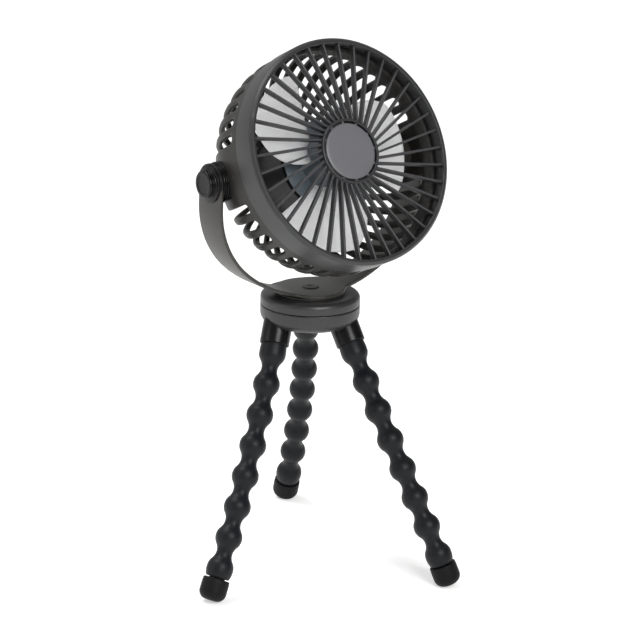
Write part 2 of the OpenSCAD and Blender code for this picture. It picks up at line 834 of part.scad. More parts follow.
module blade() {
  n = 10;
  m = n + 1;
  size = m * m;
  grid = [for (i = [0:n]) for (j = [0:n]) [i, j]];
  top = [for (g = grid) blade_point(g[0] / n, g[1] / n, 1)];
  bottom = [for (g = grid) blade_point(g[0] / n, g[1] / n, -1)];
  cells = [for (i = [0:n - 1]) for (j = [0:n - 1]) i * m + j];
  edge = concat(
    [for (j = [0:n - 1]) j],
    [for (i = [0:n - 1]) i * m + n],
    [for (j = [n:-1:1]) n * m + j],
    [for (i = [n:-1:1]) i * m]);
  rim = len(edge);
  polyhedron(
    points = concat(top, bottom),
    faces = concat(
      [for (c = cells) [c, c + 1, c + m]],
      [for (c = cells) [c + 1, c + m + 1, c + m]],
      [for (c = cells) [size + c, size + c + m, size + c + 1]],
      [for (c = cells) [size + c + 1, size + c + m, size + c + m + 1]],
      [for (e = [0:rim - 1]) [edge[e], size + edge[e], edge[(e + 1) % rim]]],
      [for (e = [0:rim - 1]) [edge[(e + 1) % rim], size + edge[e], size + edge[(e + 1) % rim]]]));
}

module impeller() {
  color([0.74, 0.76, 0.76])
    on_head() {
      translate([0, 0, head_front])
        rotate_extrude($fn = 96)
          polygon([
            [shaft_r, -hub_front + 1.5], [3.2, -hub_front + 1.5], [3.2, -hub_front],
            [hub_r - 1, -hub_front], [hub_r, -hub_front - 1], [hub_r, -blade_rear + 1.5],
            [hub_disc_r, -blade_rear + 1.2], [hub_disc_r, -blade_rear], [hub_in_r, -blade_rear],
            [hub_in_r, -hub_front - 2], [shaft_r, -hub_front - 2]]);
      for (i = [0:blades - 1])
        rotate([0, 0, 360 / blades * i]) blade();
    }
}

module rotor_cup() {
  color([0.55, 0.55, 0.57])
    on_head() {
      tube_s(hub_front + 2.05, stator_s + stator_l + 2, rotor_in_r, rotor_r, $fn = 96);
      tube_s(hub_front + 2.05, hub_front + 2.85, 5, rotor_r - 0.3, $fn = 96);
    }
}

module motor_shaft() {
  color([0.75, 0.75, 0.77])
    on_head()
      disc_s(hub_front - 1.3, pod_front - 0.5, shaft_r, $fn = 48);
}

// A bead with a cup at its upper neck, and below it the ball of the next neck or a stub for the foot
module leg_bead(k, i) {
  up = i == 1 ? first_neck : bead_pitch / 2;
  down = bead_pitch / 2;
  skirt = up - 3.4;
  skirt_r = sqrt(bead_r * bead_r - skirt * skirt) - 0.2;
  color([0.14, 0.15, 0.17])
    on_axis()
      translate(run(k, splay[k], i - 1)) {
        difference() {
          union() {
            sphere(r = bead_r, $fn = 64);
            if (i > 1)
              along(k, i - 1)
                translate([0, 0, -up - rim_over])
                  cylinder(r1 = neck_r, r2 = skirt_r, h = up + rim_over - skirt, $fn = 48);
          }
          along(k, i - 1) {
            translate([0, 0, -up]) sphere(r = cup_r, $fn = 48);
            if (i == 1)
              translate([0, 0, -up - rim_over - 10]) cylinder(r = bead_r, h = 10, $fn = 48);
          }
        }
        along(k, i)
          if (i < beads)
            translate([0, 0, down]) sphere(r = ball_r, $fn = 48);
          else
            cylinder(r = stub_r, h = foot_reach - foot_l / 2 + 5, $fn = 48);
      }
}

module foot_cap(k) {
  color([0.12, 0.12, 0.13])
    on_axis()
      difference() {
        translate(run(k, splay[k], beads))
          along(k, beads)
            difference() {
              rotate_extrude($fn = 64)
                polygon(concat(
                  [[0, -foot_l / 2], [foot_r - 1, -foot_l / 2], [foot_r, -foot_l / 2 + 1]],
                  arc(foot_r - foot_round, foot_l / 2 - foot_round, foot_round, 0, 90, 10),
                  [[0, foot_l / 2]]));
              translate([0, 0, -foot_reach]) {
                sphere(r = bead_r + slip, $fn = 64);
                cylinder(r = stub_r + slip, h = foot_reach - foot_l / 2 + 5.2, $fn = 48);
              }
            }
        translate([-500, -500, -50]) cube([1000, 1000, 50]);
      }
}

base_body();
swivel_bolt();
swivel_nut();
swivel_washer();
leg_collars();
swivel_plate();
plate_screws();
yoke();
pivot_caps();
front_ring();
spoke_guard();
hub_badge();
rear_shell();
motor_housing();
housing_screws();
rear_cover();
cover_screws();
pivot_bolts();
pivot_washers();
motor_stator();
motor_coils();
motor_bearings();
circuit_board();
battery();
usb_socket();
led_lens();
power_button();
impeller();
rotor_cup();
motor_shaft();
leg_bead(0, 1);  // leg_1_bead_1
leg_bead(0, 2);  // leg_1_bead_2
leg_bead(0, 3);  // leg_1_bead_3
leg_bead(0, 4);  // leg_1_bead_4
leg_bead(0, 5);  // leg_1_bead_5
leg_bead(0, 6);  // leg_1_bead_6
leg_bead(0, 7);  // leg_1_bead_7
leg_bead(0, 8);  // leg_1_bead_8
foot_cap(0);  // foot_cap_1
leg_bead(1, 1);  // leg_2_bead_1
leg_bead(1, 2);  // leg_2_bead_2
leg_bead(1, 3);  // leg_2_bead_3
leg_bead(1, 4);  // leg_2_bead_4
leg_bead(1, 5);  // leg_2_bead_5
leg_bead(1, 6);  // leg_2_bead_6
leg_bead(1, 7);  // leg_2_bead_7
leg_bead(1, 8);  // leg_2_bead_8
foot_cap(1);  // foot_cap_2
leg_bead(2, 1);  // leg_3_bead_1
leg_bead(2, 2);  // leg_3_bead_2
leg_bead(2, 3);  // leg_3_bead_3
leg_bead(2, 4);  // leg_3_bead_4
leg_bead(2, 5);  // leg_3_bead_5
leg_bead(2, 6);  // leg_3_bead_6
leg_bead(2, 7);  // leg_3_bead_7
leg_bead(2, 8);  // leg_3_bead_8
foot_cap(2);  // foot_cap_3
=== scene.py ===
"""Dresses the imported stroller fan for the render: meshes, finishes, floor, lamps and camera.

Sizes are in millimetres in the classes below and become metres when a mesh is made.
The fan blows towards -Y, the side pivots lie along X and Z is up.
"""

from __future__ import annotations

import logging
import math
from dataclasses import dataclass, field
from enum import Enum
from typing import Iterable, Sequence

import bmesh
import bpy
from mathutils import Matrix, Vector

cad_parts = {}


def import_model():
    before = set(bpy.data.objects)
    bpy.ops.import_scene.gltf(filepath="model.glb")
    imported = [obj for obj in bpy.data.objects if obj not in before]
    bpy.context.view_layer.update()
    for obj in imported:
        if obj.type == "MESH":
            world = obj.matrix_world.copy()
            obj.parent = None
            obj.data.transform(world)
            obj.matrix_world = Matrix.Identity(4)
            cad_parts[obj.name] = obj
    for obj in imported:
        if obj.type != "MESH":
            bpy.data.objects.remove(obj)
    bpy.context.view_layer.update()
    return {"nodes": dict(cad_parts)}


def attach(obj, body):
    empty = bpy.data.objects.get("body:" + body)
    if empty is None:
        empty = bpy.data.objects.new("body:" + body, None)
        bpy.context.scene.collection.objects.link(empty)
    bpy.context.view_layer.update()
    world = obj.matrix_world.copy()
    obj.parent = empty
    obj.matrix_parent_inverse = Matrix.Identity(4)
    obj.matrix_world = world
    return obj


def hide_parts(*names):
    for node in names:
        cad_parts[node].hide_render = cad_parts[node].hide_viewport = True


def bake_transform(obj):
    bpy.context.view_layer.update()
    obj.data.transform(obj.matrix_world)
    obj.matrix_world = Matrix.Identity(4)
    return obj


LOG = logging.getLogger("stroller_fan")
MM = 0.001
THREE = range(3)
Pair = tuple[float, float]
Triple = tuple[float, float, float]


def linear(colour: Triple, by: float = 1.0) -> tuple[float, float, float, float]:
    """Turns a screen colour, made lighter or darker, into the linear one that a shader takes.

    Args:
        colour: Red, green and blue on the screen, from 0 to 1.
        by: The factor on each of them.

    Returns:
        The linear red, green, blue and an alpha of 1.
    """
    parts = [min(1.0, c * by) for c in colour]
    parts = [c / 12.92 if c <= 0.04045 else ((c + 0.055) / 1.055) ** 2.4 for c in parts]
    return (parts[0], parts[1], parts[2], 1.0)


@dataclass
class Tree:
    """The node tree of a material or of the world, cleared for new nodes."""

    owner: bpy.types.Material | bpy.types.World

    def __post_init__(self) -> None:
        """Turns the nodes on and clears them."""
        self.owner.use_nodes = True
        self.owner.node_tree.nodes.clear()

    def add(self, kind: str, feeds: dict[str | int, object] | None = None, **settings: str) -> bpy.types.Node:
        """Adds a node.

        Args:
            kind: Its type, without the word ShaderNode.
            feeds: A value or another node's output for each input.
            **settings: The node's own settings.

        Returns:
            The new node.
        """
        made = self.owner.node_tree.nodes.new(f"ShaderNode{kind}")
        for name, value in settings.items():
            setattr(made, name, value)
        for socket, value in (feeds or {}).items():
            if isinstance(value, bpy.types.NodeSocket):
                self.owner.node_tree.links.new(value, made.inputs[socket])
            else:
                made.inputs[socket].default_value = value
        return made

    def noise(self, where: bpy.types.NodeSocket, cell: float, detail: float) -> bpy.types.NodeSocket:
        """Adds a noise texture, with the size of its cells in millimetres, and gives its output."""
        feeds = {"Vector": where, "Scale": 1.0 / (cell * MM), "Detail": detail, "Roughness": 0.55}
        return self.add("TexNoise", feeds).outputs["Fac"]

    def mix(self, share: object, first: object, second: object, blend: str = "MIX") -> bpy.types.NodeSocket:
        """Adds a mix of two colours, where each may be a value or an output, and gives its output."""
        feeds = {0: share, 6: first, 7: second}
        return self.add("Mix", feeds, data_type="RGBA", blend_type=blend).outputs[2]

    def mapped(self, value: bpy.types.NodeSocket, source: Pair, target: Pair) -> bpy.types.NodeSocket:
        """Adds a node that maps one range to another and gives its output."""
        ends = zip(("From Min", "From Max", "To Min", "To Max"), (*source, *target))
        return self.add("MapRange", {"Value": value, **dict(ends)}).outputs["Result"]

    def rays(self, *kinds: str) -> bpy.types.NodeSocket:
        """Adds nodes that give 1 on two kinds of ray and 0 on others.

        Args:
            *kinds: The two kinds.

        Returns:
            The output with that number.
        """
        seen = self.add("LightPath").outputs
        feeds = {i: seen[f"Is {kind} Ray"] for i, kind in enumerate(kinds)}
        return self.add("Math", feeds, operation="MAXIMUM").outputs["Value"]


@dataclass(frozen=True)
class Finish:
    """One surface of the fan: its colour, grain and gloss, lighter at sharp edges as wear and as painted
    highlight, with a name where it isn't the slot's.
    """

    slot: str
    colour: Triple
    roughness: float
    grain: float = 0.35
    depth: float = 0.012
    mottle: float = 0.05
    patch: float = 14.0
    # Share by which sharp edges turn lighter: partly wear, partly a painted highlight where edges catch the
    # light.
    edge_wear_and_glint: float = 0.0
    metallic: float = 0.0
    brushed: bool = False
    transmission: float = 0.0
    subsurface: float = 0.0
    sheen: float = 0.0
    specular: float = 0.5
    name: str = ""
    brush_squeeze: float = 0.06
    speck: float = 2.2
    edge_wear_and_glint_from: Pair = (0.52, 0.64)
    edge_wear_and_glint_tone: float = 1.7
    gloss_swing: float = 0.07
    bump: float = 0.6

    def material(self, name: str) -> bpy.types.Material:
        """Makes the node material of this finish.

        Args:
            name: Name of the new material.

        Returns:
            The material.
        """
        made = bpy.data.materials.new(name)
        tree = Tree(made)
        where = tree.add("TexCoord").outputs["Object"]
        scale = (1.0, 1.0, self.brush_squeeze if self.brushed else 1.0)
        stretch = tree.add("Mapping", {"Vector": where, "Scale": scale})
        fine = tree.noise(stretch.outputs["Vector"], self.grain, 3.0)
        broad = tree.noise(where, self.patch, 4.0)
        tone = tree.mix(broad, linear(self.colour, 1.0 - self.mottle), linear(self.colour, 1.0 + self.mottle))
        tone = tree.mix(min(1.0, self.speck * self.mottle), tone, fine, "MULTIPLY")
        # Sharp edges, found by pointiness, turn lighter: wear along them and a painted highlight in one.
        if self.edge_wear_and_glint:
            edge = tree.add("NewGeometry").outputs["Pointiness"]
            wear_and_glint = tree.mapped(edge, self.edge_wear_and_glint_from, (0.0, self.edge_wear_and_glint))
            tone = tree.mix(wear_and_glint, tone, linear(self.colour, self.edge_wear_and_glint_tone))
        gloss = (max(0.03, self.roughness - self.gloss_swing), min(1.0, self.roughness + self.gloss_swing))
        bump = tree.add("Bump", {"Height": fine, "Strength": self.bump, "Distance": self.depth * MM})
        shader = tree.add("BsdfPrincipled", {
            "Base Color": tone, "Roughness": tree.mapped(fine, (0.0, 1.0), gloss),
            "Normal": bump.outputs["Normal"], "Metallic": self.metallic,
            "Transmission Weight": self.transmission, "Subsurface Weight": self.subsurface,
            "Subsurface Scale": 0.003, "Subsurface Radius": (1.0, 1.0, 1.0), "Sheen Weight": self.sheen,
            "Sheen Roughness": 0.45, "Specular IOR Level": self.specular,
        })
        tree.add("OutputMaterial", {"Surface": shader.outputs["BSDF"]})
        return made


class Look(Enum):
    """The finishes of the fan, one for each kind of surface, with the shell grey in a painted-shade copy and
    a painted-light copy, and the impeller plastic in a painted-shade copy.
    """

    # The body's strong edge lightening paints the bright lines along the spokes and the ring's inner lip, as
    # well as wear.
    BODY = Finish("body_charcoal", (0.16, 0.161, 0.167), 0.4, edge_wear_and_glint=0.7)
    # A darkened copy of the shell grey: painted shade, so the inside of the cage reads black.
    SHELL = Finish("shell_warm_grey", (0.15, 0.145, 0.137), 0.42, specular=0.34, edge_wear_and_glint=0.4)
    # A lighter copy of the same shell grey: painted light, so the yoke's lower bend keeps its bright
    # highlights.
    YOKE = Finish("shell_warm_grey", (0.185, 0.18, 0.167), 0.4, edge_wear_and_glint=0.3, name="yoke_warm_grey")
    BADGE = Finish("badge_grey", (0.39, 0.39, 0.405), 0.42, grain=0.25, mottle=0.04)
    BLADE = Finish(
        "impeller_grey", (0.965, 0.97, 0.975), 0.34, grain=0.6, depth=0.006, mottle=0.01,
        transmission=0.06, subsurface=0.5,
    )
    # A darker bluish copy of the blade plastic: painted shade for the hub and back disc that lie in shadow.
    SMOKE = Finish(
        "impeller_grey", (0.40, 0.44, 0.475), 0.3, grain=0.6, depth=0.006, transmission=0.1,
        name="impeller_smoke",
    )
    LEG = Finish(
        "leg_skin", (0.06, 0.067, 0.085), 0.46, grain=0.3, depth=0.02, mottle=0.12, patch=5.0, sheen=0.03,
        specular=0.22,
    )
    FOOT = Finish(
        "foot_rubber", (0.06, 0.06, 0.067), 0.55, grain=0.4, depth=0.025, mottle=0.1, patch=6.0, specular=0.15
    )
    PIVOT = Finish("pivot_black", (0.028, 0.028, 0.034), 0.3, specular=0.22, edge_wear_and_glint=0.2)
    BUTTON = Finish("button_grey", (0.27, 0.27, 0.28), 0.5, grain=0.25)
    STEEL = Finish(
        "screw_steel", (0.66, 0.66, 0.68), 0.32, grain=0.2, depth=0.004, metallic=1.0, brushed=True
    )
    NYLON = Finish("washer_nylon", (0.78, 0.76, 0.70), 0.5, grain=0.5, subsurface=0.2)
    COPPER = Finish("copper_wire", (0.72, 0.42, 0.24), 0.34, grain=0.18, depth=0.03, metallic=1.0)
    IRON = Finish("motor_iron", (0.5, 0.5, 0.52), 0.42, grain=0.3, metallic=1.0, brushed=True)
    BRASS = Finish("bearing_brass", (0.74, 0.62, 0.38), 0.34, grain=0.3, metallic=1.0)
    BOARD = Finish("board_green", (0.10, 0.32, 0.19), 0.4, grain=0.5, mottle=0.15, patch=3.0)
    CELL = Finish("battery_can", (0.35, 0.48, 0.62), 0.38, grain=0.4, mottle=0.06)
    LENS = Finish("lens_clear", (0.86, 0.9, 0.94), 0.12, grain=0.5, depth=0.002, transmission=0.8)

    def paint(self, thing: bpy.types.Object) -> None:
        """Puts this finish on an object, in place of any it has.

        Args:
            thing: A mesh object.
        """
        name = f"{self.value.name or self.value.slot}_finish"
        made = bpy.data.materials.get(name) or self.value.material(name)
        if not thing.material_slots:
            thing.data.materials.append(made)
        for place in thing.material_slots:
            place.material = made


def rounded(corners: Sequence[Triple], steps: int = 5) -> list[Pair]:
    """Rounds the corners of a closed outline.

    Args:
        corners: Points of the outline, each with the radius of its rounding.
        steps: Number of segments in each rounding.

    Returns:
        The points of the rounded outline.
    """
    made: list[Pair] = []
    count = len(corners)
    spots = [Vector((x, y)) for x, y, _ in corners]
    halves, reaches = [], []
    for i, (_, _, radius) in enumerate(corners):
        before, after = spots[i - 1] - spots[i], spots[(i + 1) % count] - spots[i]
        plain = radius <= 0 or before.length < 1e-9 or after.length < 1e-9
        halves.append(0.0 if plain else before.angle(after) / 2)
        reaches.append(0.0 if plain else radius / max(1e-6, math.tan(halves[-1])))
    for i, (x, y, _) in enumerate(corners):
        here, reach = spots[i], reaches[i]
        if reach <= 0:
            made.append((x, y))
            continue
        before, after = spots[i - 1] - here, spots[(i + 1) % count] - here
        for side, other in ((before, reaches[i - 1]), (after, reaches[(i + 1) % count])):
            reach = min(reach, 0.98 * side.length * reaches[i] / (reaches[i] + other))
        middle = (before.normalized() + after.normalized()).normalized()
        centre = here + middle * (reach * math.tan(halves[i]) / math.sin(halves[i]))
        start = here + before.normalized() * reach - centre
        turn = start.angle_signed(here + after.normalized() * reach - centre)
        made += [tuple(centre + Matrix.Rotation(-turn * k / steps, 2) @ start) for k in range(steps + 1)]
    return made


def spun(degrees: float) -> Matrix:
    """Gives a turn about Z."""
    return Matrix.Rotation(math.radians(degrees), 4, "Z")


def finished(piece: bpy.types.Object, body: str, look: Look, *nodes: str) -> None:
    """Lets a piece ride on a body and stand for CAD nodes.

    Args:
        piece: The piece.
        body: The body it moves with.
        look: Not used.
        *nodes: The CAD nodes that it stands for.
    """
    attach(piece, body)
    if nodes:
        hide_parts(*nodes)
    LOG.info("%s rides on %s, %d faces", piece.name, body, len(piece.data.polygons))


@dataclass
class Mesher:
    """Collects points and faces in millimetres and turns them into one object in metres."""

    points: list[Vector] = field(default_factory=list)
    faces: list[tuple[int, ...]] = field(default_factory=list)

    def add(self, ring: Iterable[Sequence[float]]) -> list[int]:
        """Adds points.

        Args:
            ring: The points.

        Returns:
            Their numbers.
        """
        first = len(self.points)
        self.points.extend(Vector(p) for p in ring)
        return list(range(first, len(self.points)))

    def skin(self, rings: Sequence[Sequence[int]], around: bool = True, along: bool = False) -> None:
        """Joins rings of points with faces.

        Args:
            rings: Rings of point numbers, all of one length.
            around: Whether each ring closes on itself.
            along: Whether the last ring joins the first.
        """
        pairs = list(zip(rings, rings[1:])) + ([(rings[-1], rings[0])] if along else [])
        for a, b in pairs:
            size = len(a)
            for j in range(size if around else size - 1):
                k = (j + 1) % size
                self.faces.append((a[j], a[k], b[k], b[j]))

    def tube(self, rings: Sequence[Sequence[int]]) -> None:
        """Joins rings and closes each end with a fan of triangles, on points of its own.

        Args:
            rings: Rings of point numbers, all of one length.
        """
        self.skin(rings)
        for ring in (rings[0], rings[-1]):
            own = self.add([self.points[i].copy() for i in ring])
            centre = self.add([sum((self.points[i] for i in own), Vector()) / len(own)])[0]
            self.faces += [(point, own[(j + 1) % len(own)], centre) for j, point in enumerate(own)]

    def lathe(self, outline: Sequence[Pair], place: Matrix, steps: int, closed: bool = True) -> None:
        """Turns an outline round an axis.

        Args:
            outline: Points as radius and height along the axis.
            place: Matrix from the lathe's own axes to the fan's.
            steps: Number of segments round the axis.
            closed: Whether the outline closes on itself.
        """
        rings = []
        for j in range(steps):
            turn = 2 * math.pi * j / steps
            rings.append(self.add(
                place @ Vector((r * math.cos(turn), r * math.sin(turn), h)) for r, h in outline
            ))
        self.skin(rings, around=closed, along=True)

    def turned(self, corners: Sequence[Triple], *places: Matrix, steps: int = 96, soft: int = 5) -> None:
        """Turns corners of radius, height and rounding round the Z axis of each place."""
        for place in places:
            self.lathe(rounded(corners, soft), place, steps)

    def bar(self, section: Sequence[Pair], ends: Pair, place: Matrix) -> None:
        """Draws a straight bar, with a section in Y and Z, between two ends along the X axis of its place."""
        self.tube([self.add(place @ Vector((x, y, z)) for y, z in section) for x in ends])

    def build(self, name: str, look: Look, smooth: float = 38.0, weld: float = 0.0005) -> bpy.types.Object:
        """Makes the object.

        Args:
            name: Name of the object.
            look: Its finish.
            smooth: Angle in degrees up to which faces shade as one surface.
            weld: Distance in millimetres within which points become one.

        Returns:
            The object, linked to the scene.
        """
        mesh = bpy.data.meshes.new(name)
        mesh.from_pydata([tuple(p * MM) for p in self.points], [], self.faces)
        work = bmesh.new()
        work.from_mesh(mesh)
        if weld:
            bmesh.ops.remove_doubles(work, verts=work.verts, dist=weld * MM)
        bmesh.ops.dissolve_degenerate(work, edges=work.edges, dist=1e-8)
        bmesh.ops.recalc_face_normals(work, faces=work.faces)
        work.to_mesh(mesh)
        work.free()
        mesh.polygons.foreach_set("use_smooth", [True] * len(mesh.polygons))
        mesh.set_sharp_from_angle(angle=math.radians(smooth))
        mesh.validate()
        made = bpy.data.objects.new(name, mesh)
        bpy.context.scene.collection.objects.link(made)
        look.paint(made)
        return made

    def make(self, name: str, look: Look, body: str, *nodes: str, **shading: float) -> None:
        """Makes a piece that rides on a body and stands for CAD nodes, shaded as build says."""
        finished(self.build(name, look, **shading), body, look, *nodes)


@dataclass(frozen=True)
class Place:
    """Where the fan stands: its upright axis, the side pivots and the tilt of the head."""

    axis_x: float = 9.9242
    axis_y: float = 0.680133
    pivot_z: float = 231.9
    head_front: float = 40.0
    head_tilt: float = 26.4

    def base(self, height: float = 0.0) -> Matrix:
        """Gives the place on the upright axis at a height above the table."""
        return Matrix.Translation((self.axis_x, self.axis_y, height))

    def head(self) -> Matrix:
        """Gives the place of the head, with Z out of the front and zero at the rim."""
        turn = Matrix.Rotation(math.radians(90 - self.head_tilt), 4, "X")
        return self.base(self.pivot_z) @ turn @ Matrix.Translation((0, 0, self.head_front))

    def sides(self) -> list[Matrix]:
        """Gives the places of both side pivots, with Z outwards along the pivots' axis."""
        turns = (Matrix.Rotation(math.radians(90 * side), 4, "Y") for side in (-1, 1))
        return [self.base(self.pivot_z) @ turn for turn in turns]


@dataclass
class Grille:
    """The front ring with its slanted spokes, hub ring and badge."""

    place: Place
    ring_r: float = 65.0
    ring_wall: float = 2.5
    ring_depth: float = 16.0
    lip: float = 3.2
    lip_depth: float = 2.2
    spokes: int = 38
    spoke_w: float = 1.3
    spoke_depth: float = 4.0
    spoke_taper: float = 0.92
    spoke_inset: float = 1.5
    spoke_miss: float = 6.0
    spoke_start: float = 0.85
    spoke_root: float = 0.8
    spoke_tip: float = 0.6
    hub_ring_r: float = 18.6
    hub_hole_r: float = 17.1
    hub_inset: float = 0.2
    hub_back: float = 5.9
    hub_open_r: float = 6.0
    badge_seat: float = 4.3
    badge_r: float = 16.0
    badge_wall: float = 1.5
    badge_back: float = 2.4
    badge_ribs: int = 12
    rib_half: float = 0.7
    crown_share: float = 0.86
    crown_fall: float = 0.18
    crown_steps: int = 8

    def ring(self) -> None:
        """Makes the ring, the slanted spokes and the hub ring as one moulding."""
        shape, place = Mesher(), self.place.head()
        inner, opening = self.ring_r - self.ring_wall, self.ring_r - self.lip
        shape.turned([
            (opening, 0.0, 0.4), (self.ring_r - 1.6, 0.0, 0.35), (self.ring_r - 0.2, -1.2, 0.4),
            (self.ring_r, -2.1, 0.5), (self.ring_r, -self.ring_depth, 0.35), (inner, -self.ring_depth, 0.2),
            (inner, -self.lip_depth - 0.6, 0.5), (opening, -self.lip_depth, 0.3),
        ], place, steps=256)
        start = math.sqrt((self.hub_ring_r - self.spoke_root) ** 2 - self.spoke_miss ** 2)
        end = math.sqrt((inner + self.spoke_tip) ** 2 - self.spoke_miss ** 2)
        half, front, aside = self.spoke_w / 2, -self.spoke_inset, Matrix.Translation((0, -self.spoke_miss, 0))
        back, thin = front - self.spoke_depth, half * self.spoke_taper
        section = rounded([
            (half, front, 0.42), (-half, front, 0.42), (-thin, back, 0.3), (thin, back, 0.3),
        ], 4)
        for i in range(self.spokes):
            shape.bar(section, (start, end), place @ spun(360 / self.spokes * i + self.spoke_start) @ aside)
        shape.turned([
            (self.hub_hole_r, -self.hub_inset, 0.35), (self.hub_ring_r, -self.hub_inset, 0.55),
            (self.hub_ring_r, -self.hub_back, 0.5), (self.hub_open_r, -self.hub_back, 0.3),
            (self.hub_open_r, -self.badge_seat, 0.3), (self.hub_hole_r, -self.badge_seat, 0.2),
        ], place, steps=160)
        shape.make("front_ring_and_spokes", Look.BODY, "head", "front_ring", "spoke_guard")

    def badge(self) -> None:
        """Makes the round badge with its snap ribs, left bare."""
        shape, place, r, seat = Mesher(), self.place.head(), self.badge_r, -self.badge_seat
        crown = [
            (r * self.crown_share * math.sin(a), -0.3 - self.crown_fall * (1 - math.cos(a)))
            for a in (math.pi / 2 * k / self.crown_steps for k in range(self.crown_steps + 1))
        ]
        inner = r - self.badge_wall
        edge = rounded([
            (r * 0.9, -0.45, 0.2), (r, -0.75, 0.55), (r, seat, 0.15), (inner, seat, 0.1),
            (inner, -self.badge_back, 0.2), (0.0, -self.badge_back, 0.0),
        ])
        shape.lathe(crown + edge, place, 160, closed=False)
        wide = self.rib_half
        section = rounded([(wide, -1.5, 0.25), (-wide, -1.5, 0.25), (-wide, seat, 0.1), (wide, seat, 0.1)], 3)
        for i in range(self.badge_ribs):
            shape.bar(section, (r - 0.6, self.hub_hole_r - 0.05), place @ spun(360 * i / self.badge_ribs))
        shape.make("hub_badge_bare", Look.BADGE, "head", "hub_badge")


